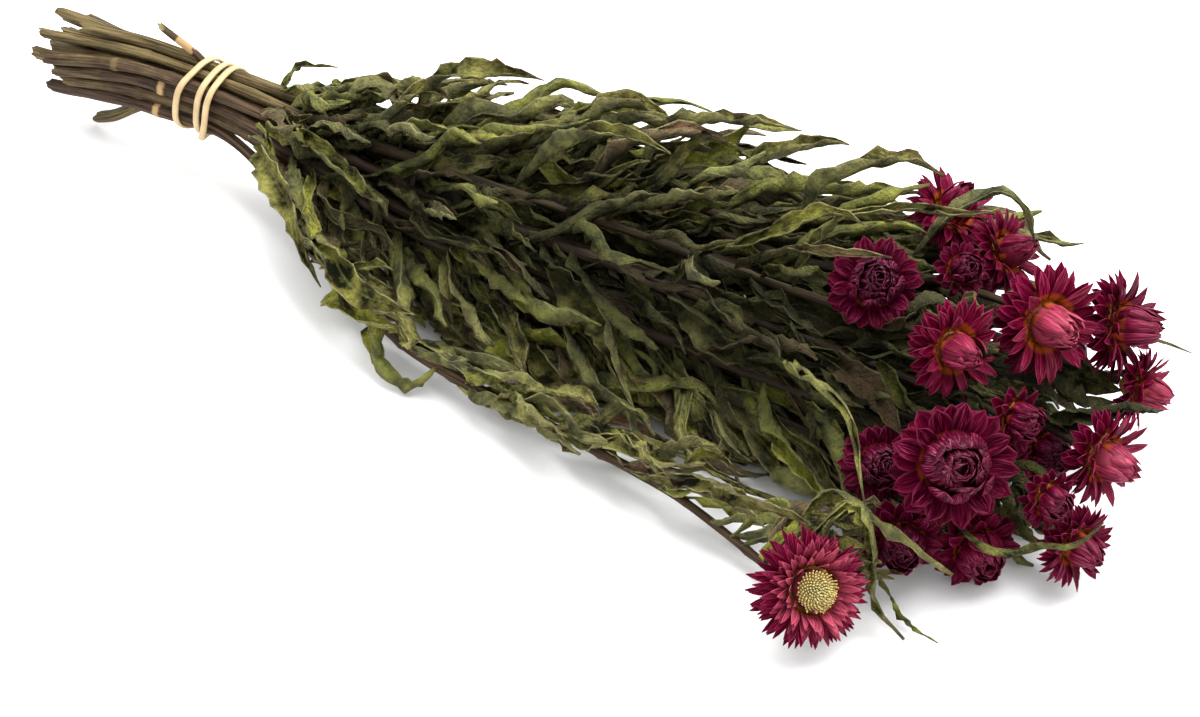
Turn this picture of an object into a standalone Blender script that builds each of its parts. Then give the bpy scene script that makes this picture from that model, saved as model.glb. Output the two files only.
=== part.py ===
"""Tied bunch of dried strawflowers, lying on its side on a flat surface.

Metres. +X runs from the cut ends of the stems to the heads and +Z is up. The origin is
under the middle of the bunch, on the surface that it lies on. Each leafy stem is one
solid, a stem with its leaves grown together. Each head of papery bracts is one solid,
seated on its stem, the open head has a disc of its own, and a rubber band wound three
times holds the stems together.
"""
import math
import random

import bmesh
import bpy
import numpy as np
from mathutils import Matrix, Vector
from mathutils.bvhtree import BVHTree

SEED = 23
GAP = 0.0003

# Moves the finished bunch so that its box is centred over the origin
CENTRE_SHIFT = (0.0043, 0.0067, 0.0)

# The bunch, with its middle line, half width and half height along its length
BUNCH = (
    # x, middle y, half width, middle z, half height
    (-0.165, 0.026, 0.014, 0.037, 0.014),
    (-0.120, 0.021, 0.024, 0.040, 0.020),
    (-0.080, 0.015, 0.052, 0.042, 0.035),
    (-0.030, 0.010, 0.074, 0.045, 0.041),
    (0.030, 0.011, 0.083, 0.048, 0.045),
    (0.100, 0.010, 0.093, 0.049, 0.046),
    (0.160, 0.012, 0.098, 0.049, 0.047),
    (0.220, 0.012, 0.090, 0.047, 0.045),
)

# Stems
STEM_RADIUS = 0.0027
NECK_RADIUS = 0.0015
STEM_SIDES = 5
CUT_END_X = -0.262
CUT_END_SPLAY = 1.35
CUT_END_TWIST = math.radians(32)
STATION = 0.008
STEM_CLEAR = 0.0009
LANE_BACK = 0.030
STEM_SPREAD = 0.86
NECK_LENGTH = 0.014
STEM_MARKS = (-0.030, -0.010, 0.010, 0.030, 0.060, 0.100, 0.145, 0.190, 0.235, 0.280, 0.320, 0.355, 0.390)

# The lowest stem rests on a short heel at its cut end
REST_STEM_CUT_X = -0.238
REST_LENGTH = 0.006

# Tie, a rubber band
TIE_X = -0.172
TIE_Y = 0.025
TIE_Z = 0.037
BAND_WIDTH = 0.0032
BAND_THICKNESS = 0.0012
BAND_TURN_X = (-0.0080, 0.0014, 0.0064)
BAND_TURN_LEAN = (0.0042, 0.0016, 0.0012)
BAND_STEPS = 26
BAND_CHANGE = 0.20
BAND_CROSSING = (0.34, 0.14)

# Leaves
LEAF_LENGTH = (0.055, 0.100)
LEAF_WIDTH = (0.009, 0.015)
LEAF_THICKNESS = 0.0011
LEAVES_PER_STEM = 8
LEAF_FIRST_X = -0.150
LEAF_LAST_BACK = 0.030
LEAF_ROOT = 0.45
LEAF_STEPS = 12
LEAF_TRIES = 36
SHOWN_TRIES = 60
FLOOR_CLEAR = 0.0012

# Stations of a blade: the step of its route and its part of the full width
LEAF_STATIONS = ((0, 0.0), (2, 0.50), (5, 1.0), (9, 0.72))

# Leaves that stand out of the bunch: width, then places from near the stem to the tip
SHOWN_LEAVES = (
    (0.010, (0.155, 0.064, 0.084), (0.169, 0.073, 0.092), (0.178, 0.075, 0.086), (0.182, 0.075, 0.070)),
    (0.007, (0.123, 0.032, 0.088), (0.142, 0.039, 0.094), (0.160, 0.045, 0.096), (0.170, 0.058, 0.093)),
    (0.012, (0.184, -0.067, 0.050), (0.195, -0.071, 0.030), (0.198, -0.074, 0.014), (0.210, -0.076, 0.004)),
    (0.013, (0.231, 0.021, 0.049), (0.242, 0.029, 0.052), (0.253, 0.041, 0.046)),
    (0.011, (0.170, -0.057, 0.042), (0.192, -0.060, 0.040), (0.222, -0.066, 0.034)),
    (0.015, (-0.124, -0.004, 0.046), (-0.104, -0.020, 0.044), (-0.086, -0.033, 0.034),
     (-0.074, -0.036, 0.018)),
    (0.016, (-0.074, -0.034, 0.038), (-0.048, -0.046, 0.034), (-0.018, -0.050, 0.037)),
    (0.014, (-0.040, -0.044, 0.022), (-0.034, -0.052, 0.010), (-0.020, -0.054, 0.006),
     (-0.010, -0.046, 0.013)),
    (0.010, (0.035, 0.058, 0.082), (0.060, 0.063, 0.089), (0.082, 0.066, 0.092)),
    (0.009, (0.106, 0.050, 0.085), (0.118, 0.064, 0.091), (0.129, 0.072, 0.091), (0.141, 0.076, 0.086)),
    (0.012, (-0.064, 0.041, 0.078), (-0.046, 0.048, 0.083), (-0.024, 0.052, 0.084)),
    (0.015, (0.150, -0.046, 0.079), (0.172, -0.056, 0.075), (0.181, -0.064, 0.068), (0.189, -0.071, 0.056)),
)

# Heads: place of the bract ring, the way the head faces, diameter and form
HEADS = (
    ((0.145, 0.078, 0.070), (0.45, 0.10, 0.85), 0.038, "spiky"),
    ((0.143, 0.019, 0.074), (0.40, -0.55, 0.75), 0.037, "closed"),
    ((0.167, 0.043, 0.074), (0.62, -0.30, 0.70), 0.024, "small"),
    ((0.171, 0.0735, 0.064), (0.80, 0.10, 0.60), 0.036, "spiky"),
    ((0.204, 0.040, 0.067), (0.83, -0.45, 0.30), 0.047, "spiky"),
    ((0.2225, 0.066, 0.056), (0.95, 0.10, 0.20), 0.044, "spiky"),
    ((0.236, 0.061, 0.034), (0.95, 0.10, -0.10), 0.034, "spiky"),
    ((0.184, 0.003, 0.072), (0.82, -0.47, 0.33), 0.039, "spiky"),
    ((0.215, -0.0075, 0.060), (0.90, -0.25, 0.25), 0.028, "small"),
    ((0.207, -0.041, 0.060), (0.50, -0.60, 0.60), 0.047, "closed"),
    ((0.243, 0.010, 0.042), (0.92, -0.20, 0.05), 0.040, "spiky"),
    ((0.237, -0.023, 0.044), (0.85, -0.45, 0.20), 0.025, "small"),
    ((0.215, -0.031, 0.0155), (0.75, -0.65, 0.05), 0.034, "closed"),
    ((0.195, -0.0515, 0.026), (0.50, -0.80, 0.10), 0.031, "closed"),
    ((0.247, -0.016, 0.021), (0.90, -0.35, 0.05), 0.034, "spiky"),
    ((0.181, -0.093, 0.0280), (0.62, -0.52, 0.58), 0.048, "open"),
    ((0.150, 0.088, 0.030), (0.55, 0.80, 0.10), 0.032, "closed"),
    ((0.190, 0.086, 0.0150), (0.75, 0.65, 0.00), 0.034, "spiky"),
    ((0.219, 0.0155, 0.028), (0.80, -0.30, 0.30), 0.030, "closed"),
    ((0.1755, -0.032, 0.038), (0.50, -0.60, 0.60), 0.032, "closed"),
)
RESTING_HEADS = (12, 17)

# Bract rings of each form, in head radii: how many bracts, height and radius of the
# seat, angle off the axis, length, width, and how far the tip bends outwards
RINGS = {
    "spiky": (
        (8, 0.30, 0.40, 102, 0.62, 0.42, 8),
        (8, 0.42, 0.45, 74, 0.60, 0.38, 4),
        (8, 0.55, 0.46, 44, 0.52, 0.32, -10),
    ),
    "closed": (
        (8, 0.28, 0.42, 92, 0.60, 0.48, 6),
        (8, 0.42, 0.50, 62, 0.56, 0.46, -14),
        (8, 0.56, 0.52, 34, 0.46, 0.40, -38),
    ),
    "small": (
        (7, 0.36, 0.46, 84, 0.56, 0.48, 4),
        (7, 0.54, 0.50, 46, 0.56, 0.44, -14),
    ),
    "open": (
        (11, 0.26, 0.34, 98, 0.68, 0.34, 6),
        (11, 0.38, 0.38, 76, 0.64, 0.30, 6),
        (11, 0.48, 0.38, 52, 0.44, 0.20, 6),
    ),
}
DOME = {
    "spiky": ((0.88, 0.40), (1.12, 0.22), 1.20),
    "closed": ((0.86, 0.46), (1.08, 0.26), 1.16),
    "small": ((0.88, 0.42), (1.10, 0.22), 1.18),
    "open": ((0.56, 0.33), (0.50, 0.20), 0.48),
}
BRACT_SEAT = 0.07
SEAT_HEIGHT = 0.45
CORE_REACH = 0.46

# How the bracts that cross another piece are folded up and shortened, step by step
HEAD_SPARE = 0.012
HEAD_TRIES = 24
FOLD_STEP = 0.09
FOLD_MOST = 0.9
SHORTEN_STEP = 0.93

# Disc of the open head, in head radii: radius and height up its side, and its two middles
DISC_PROFILE = ((0.17, 0.515), (0.25, 0.565), (0.30, 0.64), (0.27, 0.72), (0.17, 0.76))
DISC_UNDER = 0.50
DISC_TOP = 0.74
DISC_SIDES = 14


def clear_scene():
    for thing in list(bpy.data.objects):
        bpy.data.objects.remove(thing)


def material(name, colour, roughness):
    """A Principled material of one colour."""
    made = bpy.data.materials.new(name)
    made.use_nodes = True
    shader = made.node_tree.nodes["Principled BSDF"]
    shader.inputs["Base Color"].default_value = (*colour, 1)
    shader.inputs["Roughness"].default_value = roughness
    shader.inputs["Metallic"].default_value = 0
    return made


def solid(name, points, faces, finish):
    """A named object with the given mesh, its faces split into triangles."""
    mesh = bpy.data.meshes.new(name)
    mesh.from_pydata([tuple(np.array(point) + CENTRE_SHIFT) for point in points], [], faces)
    mesh.materials.append(finish)
    made = bpy.data.objects.new(name, mesh)
    bpy.context.scene.collection.objects.link(made)
    return made


def unit(vector):
    return vector / np.linalg.norm(vector)


# The bunch's shape

def bunch_at(x):
    """Middle y, half width, middle z and half height of the bunch at x, smoothed."""
    table = np.array(BUNCH)
    near = x + np.array((-0.024, -0.012, 0.0, 0.012, 0.024))
    return [float(np.mean(np.interp(near, table[:, 0], table[:, k]))) for k in (1, 2, 3, 4)]


def place_in_bunch(point):
    """Where a point is in its cross-section, as parts of the half width and height."""
    middle_y, half_y, middle_z, half_z = bunch_at(point[0])
    return (point[1] - middle_y) / half_y, (point[2] - middle_z) / half_z


def flow_at(point):
    """The way stems and leaves run at a point, along the bunch and fanning out with it."""
    step = 0.01
    across, up = place_in_bunch(point)
    middle_y, half_y, middle_z, half_z = bunch_at(point[0] + step)
    ahead = np.array((point[0] + step, middle_y + across * half_y, middle_z + up * half_z))
    return unit(ahead - point)


# Stems

def smooth_route(points, spacing):
    """Even points along a smooth curve through the given ones."""
    points = np.array(points, float)
    knots = np.concatenate(([0], np.cumsum(np.linalg.norm(np.diff(points, axis=0), axis=1))))
    slopes = np.gradient(points, knots, axis=0)
    along = np.linspace(0, knots[-1], max(4, int(knots[-1] / spacing)))
    span = np.clip(np.searchsorted(knots, along, side="right") - 1, 0, len(knots) - 2)
    width = (knots[span + 1] - knots[span])[:, None]
    t = (along[:, None] - knots[span][:, None]) / width
    start = (2 * t**3 - 3 * t**2 + 1) * points[span] + (t**3 - 2 * t**2 + t) * width * slopes[span]
    end = (3 * t**2 - 2 * t**3) * points[span + 1] + (t**3 - t**2) * width * slopes[span + 1]
    return start + end


def head_axis(head):
    return unit(np.array(head[1]))


def head_base(head):
    """The point where a head sits on its stem."""
    return np.array(head[0]) - head_axis(head) * SEAT_HEIGHT * head[2] / 2


def stem_lane(head):
    """Where in the cross-section of the bunch the stem of a head runs."""
    return place_in_bunch(head_base(head) - head_axis(head) * LANE_BACK)


def push_apart(places, radii, share):
    """Move circles that overlap away from each other, in place."""
    apart = places[:, None] - places[None]
    distance = np.linalg.norm(apart, axis=-1) + 1e-9
    need = radii[:, None] + radii[None]
    short = np.maximum(need - distance, 0)
    index = np.arange(len(places))
    short[index, index] = 0
    places += (apart / distance[..., None] * short[..., None]).sum(axis=1) * share


def packed_slots(radii):
    """Where each stem passes through the tie: as in the bunch, and packed together."""
    wish = np.array([stem_lane(head) for head in HEADS])
    slots = wish * STEM_RADIUS * 4.5
    room = np.array(radii) + GAP * 0.7
    for turn in range(600):
        slots *= 1 - 0.012 * (1 - turn / 600)
        for again in range(3):
            push_apart(slots, room, 0.4)
    for turn in range(200):
        push_apart(slots, room, 0.4)
    return slots - slots.mean(axis=0)


def stem_wish(index, slot, rests, rng):
    """The line a stem would take: cut end, tie, fan of the bunch, neck, head."""
    head = HEADS[index]
    base = head_base(head) - head_axis(head) * GAP
    across, up = stem_lane(head)
    turned = Matrix.Rotation(CUT_END_TWIST, 2) @ Vector(slot)
    cut_x = CUT_END_X + rng.uniform(-0.008, 0.022)
    cut = [cut_x, TIE_Y + turned.x * CUT_END_SPLAY, TIE_Z - 0.004 + turned.y * CUT_END_SPLAY]
    if rests:
        cut = [REST_STEM_CUT_X, TIE_Y + slot[0], STEM_RADIUS * 0.8]
    points = [cut]
    for x in (TIE_X - 0.020, TIE_X - 0.010, TIE_X, TIE_X + 0.014):
        points.append((x, TIE_Y + slot[0], TIE_Z + slot[1]))
    neck = base - head_axis(head) * NECK_LENGTH
    for x in (-0.125, -0.075, -0.020, 0.040, 0.095, 0.140, 0.180):
        if x > neck[0] - 0.038:
            break
        middle_y, half_y, middle_z, half_z = bunch_at(x)
        side, rise = across * half_y * STEM_SPREAD, up * half_z * STEM_SPREAD
        points.append((x, middle_y + side, middle_z + rise))
    points += [neck, base]
    return smooth_route(points, 0.004)


def stem_radius(x, base_x, thick):
    """A stem is thickest at the tie and thins to its neck."""
    along = np.clip((x - TIE_X) / (base_x - TIE_X), 0, 1)
    return thick * (1 - along) + NECK_RADIUS * along


def stem_routes(rng):
    """All stems as y and z at even stations of x, pushed clear of each other and of heads."""
    thick = [STEM_RADIUS * rng.uniform(0.84, 1.08) for head in HEADS]
    slots = packed_slots(thick)
    lowest = int(np.argmin(slots[:, 1]))
    wishes = [stem_wish(index, slots[index], index == lowest, rng) for index in range(len(HEADS))]
    first = min(route[0][0] for route in wishes)
    last = max(route[-1][0] for route in wishes)
    stations = np.arange(first, last + STATION, STATION)
    count = len(HEADS)
    wish = np.zeros((count, len(stations), 2))
    live = np.zeros((count, len(stations)), bool)
    free = np.zeros((count, len(stations)))
    radii = np.zeros((count, len(stations)))
    for i, route in enumerate(wishes):
        for k in (0, 1):
            wish[i, :, k] = np.interp(stations, route[:, 0], route[:, k + 1])
        live[i] = (stations > route[0][0] - STATION) & (stations < route[-1][0] + STATION)
        free[i] = np.clip(np.abs(stations - TIE_X) / 0.02 - 0.8, 0, 1)
        free[i] *= np.clip((route[-1][0] - stations) / 0.02 - 0.4, 0, 1)
        radii[i] = stem_radius(stations, route[-1][0], thick[i])
    middles = np.array([np.array(head[0]) + head_axis(head) * 0.1 * head[2] for head in HEADS])
    sizes = np.array([head[2] for head in HEADS])
    others = 1 - np.eye(count)[:, :, None]
    both = live[:, None] & live[None]
    shift = np.zeros_like(wish)
    for turn in range(300):
        place = wish + shift
        slope = np.linalg.norm(np.gradient(place, STATION, axis=1), axis=2)
        stretch = np.sqrt(1 + slope**2)
        # Other stems at the same station
        apart = place[:, None] - place[None]
        distance = np.linalg.norm(apart, axis=-1) + 1e-9
        need = (radii[:, None] + radii[None] + STEM_CLEAR) * np.maximum(stretch[:, None], stretch[None])
        short = np.where(both, np.maximum(need - distance, 0), 0) * others
        push = (apart / distance[..., None] * short[..., None]).sum(axis=1) * 0.35
        # Heads on the other stems, as balls
        keep = CORE_REACH * sizes[None, :, None] + radii[:, None] + 0.001
        reach = np.sqrt(np.maximum(keep**2 - (stations - middles[:, :1])[None]**2, 0))
        apart = place[:, None] - middles[None, :, None, 1:]
        distance = np.linalg.norm(apart, axis=-1) + 1e-9
        short = np.where(live[:, None], np.maximum(reach - distance, 0), 0) * others
        push += (apart / distance[..., None] * short[..., None]).sum(axis=1) * 0.3
        push[:, :, 1] += np.maximum(radii + 0.0012 - place[:, :, 1], 0) * 0.5
        shift += push * free[:, :, None]
        smooth = shift.copy()
        smooth[:, 1:-1] = shift[:, 1:-1] * 0.5 + (shift[:, :-2] + shift[:, 2:]) * 0.25
        shift = smooth * np.minimum(free * 4, 1)[:, :, None]
    place = wish + shift
    stems = []
    for i, route in enumerate(wishes):
        start_x, end_x = route[0][0], route[-1][0]
        marks = [start_x]
        marks += [TIE_X + x for x in STEM_MARKS if start_x + 0.012 < TIE_X + x < end_x - 0.022]
        marks.append(end_x - 0.012)
        line = [(x, *[np.interp(x, stations, place[i][:, k]) for k in (0, 1)]) for x in marks]
        line.append(tuple(route[-1]))
        rests = i == lowest
        if rests:
            heel = start_x + REST_LENGTH
            line.insert(1, (heel, *[np.interp(heel, stations, place[i][:, k]) for k in (0, 1)]))
        axis = head_axis(HEADS[i])
        stems.append({"line": np.array(line), "thick": thick[i], "axis": axis, "rests": rests})
    return stems, slots, thick


def stem_point(stem, x):
    """A point on a stem's middle line, which runs straight from mark to mark."""
    line = stem["line"]
    return np.array([np.interp(x, line[:, 0], line[:, k]) for k in range(3)])


def stem_tangent(stem, x):
    return unit(stem_point(stem, x + 0.006) - stem_point(stem, x - 0.006))


def ring_frame(tangent, lean=None):
    """Two directions across a tangent, the first as near level as it can be."""
    side = np.cross((0, 0, 1), tangent) if lean is None else lean - tangent * np.dot(lean, tangent)
    side = unit(side)
    return side, np.cross(tangent, side)


def stem_tube(stem):
    """Points and faces of a stem, its cut end square and its neck end along the head."""
    line = stem["line"]
    points, faces = [], []
    for number, centre in enumerate(line):
        ahead = line[min(number + 1, len(line) - 1)]
        behind = line[max(number - 1, 0)]
        tangent = stem["axis"] if number == len(line) - 1 else unit(ahead - behind)
        side, up = ring_frame(tangent)
        radius = stem_radius(centre[0], line[-1][0], stem["thick"])
        for corner in range(STEM_SIDES):
            angle = 2 * math.pi * (corner + 0.5) / STEM_SIDES - math.pi / 2
            points.append(centre + radius * (side * math.cos(angle) + up * math.sin(angle)))
    if stem["rests"]:
        for ring in (0, 1):
            for corner in (0, STEM_SIDES - 1):
                points[ring * STEM_SIDES + corner][2] = 0.0
    for ring in range(len(line) - 1):
        for corner in range(STEM_SIDES):
            following = (corner + 1) % STEM_SIDES
            a = ring * STEM_SIDES
            b = a + STEM_SIDES
            faces.append((a + corner, a + following, b + following))
            faces.append((a + corner, b + following, b + corner))
    faces.append(tuple(reversed(range(STEM_SIDES))))
    faces.append(tuple(range(len(points) - STEM_SIDES, len(points))))
    return points, faces


# Leaves

def leaf_route(root, tangent, outward, leaf):
    """A leaf's middle line: off its stem, then along the bunch, waved and kept inside it."""
    points = [np.array(root)]
    heading = unit(tangent * math.cos(leaf["angle"]) + outward * math.sin(leaf["angle"]))
    sideways = unit(np.cross(tangent, outward))
    step = leaf["length"] / LEAF_STEPS
    for number in range(LEAF_STEPS):
        along = number / LEAF_STEPS
        flow = flow_at(points[-1])
        sway = leaf["sway"] * math.sin(leaf["phase"] + 5.0 * along)
        lift = leaf["curl"] * math.cos(leaf["phase"] * 1.7 + 4.0 * along)
        across, up = place_in_bunch(points[-1])
        level = abs(across)**2.3 + abs(up)**2.3
        outside = np.array((0.0, across, up)) * max(leaf["level"] - level, 0) * 0.35
        heading = unit(heading * 0.78 + flow * 0.22 + sideways * sway * 0.2 + outward * lift * 0.2 + outside)
        following = points[-1] + heading * step
        across, up = place_in_bunch(following)
        level = abs(across)**2.3 + abs(up)**2.3
        if level > leaf["level"]:
            middle_y, half_y, middle_z, half_z = bunch_at(following[0])
            away = np.array((0, across / half_y, up / half_z))
            following -= unit(away) * min(level - leaf["level"], 0.6) * 0.010
            heading = unit(following - points[-1])
        following[2] = max(following[2], 0.0018)
        points.append(following)
    return np.array(points)


def leaf_frames(points, leaf, outward):
    """Across and up directions along a leaf, turning by its twist."""
    tangents = np.gradient(points, axis=0)
    frames = []
    for number, tangent in enumerate(tangents):
        up, side = ring_frame(unit(tangent), outward)
        turn = leaf["roll"] + leaf["twist"] * number / (len(points) - 1)
        frames.append((side * math.cos(turn) + up * math.sin(turn),
                       up * math.cos(turn) - side * math.sin(turn)))
    return frames


def leaf_blade(points, frames, leaf, root_half, spare=0.0):
    """A folded blade with waved edges: two faces that meet along both edges."""
    corners, faces = [], []
    for order, (number, share) in enumerate(LEAF_STATIONS):
        side, up = frames[number]
        half = (root_half if number == 0 else leaf["width"] / 2 * share) + spare
        grown = half / (half - spare)
        wave = 0 if number == 0 else leaf["wave"] * (1 if order % 2 else -1) * grown
        fold = 0 if number == 0 else leaf["fold"] * grown
        thick = LEAF_THICKNESS / 2 + spare
        centre = points[number]
        corners.append(centre - side * half + up * (fold + wave))
        corners.append(centre + up * thick)
        corners.append(centre + side * half + up * (fold - wave))
        corners.append(centre - up * thick)
    tip = len(corners)
    corners.append(points[-1])
    for order in range(len(LEAF_STATIONS) - 1):
        a, b = order * 4, order * 4 + 4
        left, top, right, under = 0, 1, 2, 3
        faces += [(a + left, b + top, a + top), (a + left, b + left, b + top)]
        faces += [(a + top, b + top, a + right), (a + right, b + top, b + right)]
        faces += [(a + left, a + under, b + under), (a + left, b + under, b + left)]
        faces += [(a + under, a + right, b + under), (a + right, b + right, b + under)]
    last = tip - 4
    for edge in range(4):
        faces.append((last + (edge + 1) % 4, last + edge, tip))
    faces += [(0, 1, 2), (0, 2, 3)]
    return corners, [tuple(reversed(face)) for face in faces]


def tree_of(points, faces):
    return BVHTree.FromPolygons([tuple(point) for point in points], faces)


def box_of(points):
    points = np.array(points)
    return points.min(axis=0), points.max(axis=0)


def is_clear(points, faces, others):
    """Whether a mesh crosses none of the others, each a box and a search tree."""
    low, high = box_of(points)
    tree = None
    for (other_low, other_high), other in others:
        if (low > other_high).any() or (high < other_low).any():
            continue
        tree = tree or tree_of(points, faces)
        if tree.overlap(other):
            return False
    return True


def draw_leaf(rng, shorter):
    """The sizes and bends of one leaf."""
    return {
        "length": rng.uniform(*LEAF_LENGTH) * shorter,
        "width": rng.uniform(*LEAF_WIDTH) * (0.5 + 0.5 * shorter),
        "angle": math.radians(rng.uniform(30, 62)),
        "sway": rng.uniform(-1.0, 1.0),
        "curl": rng.uniform(-0.7, 1.0),
        "phase": rng.uniform(0, 6.28),
        "roll": math.radians(rng.uniform(-50, 50)),
        "twist": math.radians(rng.uniform(-150, 150)),
        "wave": rng.uniform(0.0006, 0.0022),
        "fold": rng.uniform(0.0006, 0.0030),
        "level": rng.uniform(0.75, 1.12),
    }


def leaf_from(stem, root_x, outward, leaf):
    """The route, frames and root width of a leaf that grows from a stem by itself."""
    root = stem_point(stem, root_x)
    points = leaf_route(root, stem_tangent(stem, root_x), outward, leaf)
    frames = leaf_frames(points, leaf, outward)
    return points, frames, stem_radius(root_x, stem["line"][-1][0], stem["thick"]) * LEAF_ROOT


def drawn_leaf(stem, index, rank, attempt):
    """One draw of one leaf. The same numbers always give the same leaf."""
    rng = random.Random(SEED * 1000003 + index * 10007 + rank * 101 + attempt)
    last_x = stem["line"][-1][0] - LEAF_LAST_BACK
    along = (rank + rng.uniform(0.1, 0.9)) / LEAVES_PER_STEM
    root_x = LEAF_FIRST_X + (last_x - LEAF_FIRST_X) * along
    tangent = stem_tangent(stem, root_x)
    across, up = place_in_bunch(stem_point(stem, root_x))
    outside = np.array((0.0, across + 1e-3, up))
    outside = unit(outside - tangent * np.dot(outside, tangent))
    spin = math.radians(rng.uniform(-1, 1) * (60 + 3.5 * attempt))
    outward = np.array(Matrix.Rotation(spin, 3, Vector(tangent)) @ Vector(outside))
    leaf = draw_leaf(rng, 1 - 0.012 * attempt)
    return (leaf, *leaf_from(stem, root_x, outward, leaf))


def stems_near(stems, first):
    """Places on the stems that a leaf could grow from to reach its first point."""
    places = []
    for index, stem in enumerate(stems):
        for root_x in np.arange(first[0] - 0.034, first[0] - 0.012, 0.004):
            if LEAF_FIRST_X < root_x < stem["line"][-1][0] - 0.012:
                distance = float(np.linalg.norm(stem_point(stem, root_x) - first))
                places.append((distance, index, float(root_x)))
    return sorted(places)


def shown_leaf(stems, rank, attempt):
    """One try at a leaf that stands out, from one of the nearest stems behind it."""
    rng = random.Random(SEED * 7919 + rank * 101 + attempt)
    width, *route = SHOWN_LEAVES[rank]
    places = stems_near(stems, np.array(route[0]))
    index, root_x = places[min(attempt // 4, len(places) - 1)][1:]
    stem = stems[index]
    moved = [stem_point(stem, root_x)]
    for spot in route:
        jitter = np.array([rng.uniform(-1, 1) for k in range(3)]) * 0.00015 * attempt
        moved.append(np.array(spot) + jitter)
    points = smooth_route(moved, 0.002)
    points = points[np.linspace(0, len(points) - 1, LEAF_STEPS + 1).astype(int)]
    leaf = draw_leaf(rng, 1.0)
    leaf["width"] = width * (1 - 0.006 * attempt)
    leaf["twist"] *= 0.5
    across, up = place_in_bunch(points[LEAF_STEPS // 2])
    frames = leaf_frames(points, leaf, unit(np.array((0.05, across, up + 0.3))))
    half = stem_radius(root_x, stem["line"][-1][0], stem["thick"]) * LEAF_ROOT
    return index, (leaf, points, frames, half)


def keep_leaf(index, drawn, obstacles):
    """A leaf's blade if it is clear of the surface and of all pieces but its own stem."""
    leaf, points, frames, half = drawn
    test = leaf_blade(points, frames, leaf, half, GAP)
    if min(point[2] for point in test[0]) < FLOOR_CLEAR:
        return None
    others = [thing for name, thing in obstacles.items() if name != ("stem", index)]
    if not is_clear(*test, others):
        return None
    obstacles["leaf", len(obstacles)] = (box_of(test[0]), tree_of(*test))
    return leaf_blade(points, frames, leaf, half)


def grow_leaves(stems, obstacles):
    """Leaves for every stem, each drawn again until it is clear of all other pieces."""
    grown = [[] for stem in stems]
    for rank in range(len(SHOWN_LEAVES)):
        for attempt in range(SHOWN_TRIES):
            index, drawn = shown_leaf(stems, rank, attempt)
            blade = keep_leaf(index, drawn, obstacles)
            if blade:
                grown[index].append(blade)
                break
    for rank in range(LEAVES_PER_STEM):
        for index, stem in enumerate(stems):
            for attempt in range(LEAF_TRIES):
                blade = keep_leaf(index, drawn_leaf(stem, index, rank, attempt), obstacles)
                if blade:
                    grown[index].append(blade)
                    break
    return grown


def join_solids(name, meshes, finish):
    """One solid from a first mesh and others that grow out of it."""
    body = solid(name, *meshes[0], finish)
    if len(meshes) == 1:
        return body
    group = bpy.data.collections.new(name + "_leaves")
    bpy.context.scene.collection.children.link(group)
    for number, (points, faces) in enumerate(meshes[1:]):
        piece = solid(f"{name}_leaf_{number}", points, faces, finish)
        bpy.context.scene.collection.objects.unlink(piece)
        group.objects.link(piece)
    union = body.modifiers.new("join", "BOOLEAN")
    union.operation = "UNION"
    union.operand_type = "COLLECTION"
    union.collection = group
    union.solver = "MANIFOLD"
    bpy.context.view_layer.update()
    graph = bpy.context.evaluated_depsgraph_get()
    joined = bpy.data.meshes.new_from_object(body.evaluated_get(graph))
    body.modifiers.clear()
    body.data = joined
    for piece in list(group.objects):
        bpy.data.objects.remove(piece)
    bpy.data.collections.remove(group)
    return body


# Heads

def head_turn(head, rng):
    """The matrix that stands a head on its base, facing its way."""
    turn = Vector(head[1]).to_track_quat("Z", "Y").to_matrix().to_4x4()
    spin = Matrix.Rotation(rng.uniform(0, 2 * math.pi), 4, "Z")
    return Matrix.Translation(Vector(head_base(head))) @ turn @ spin


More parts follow.
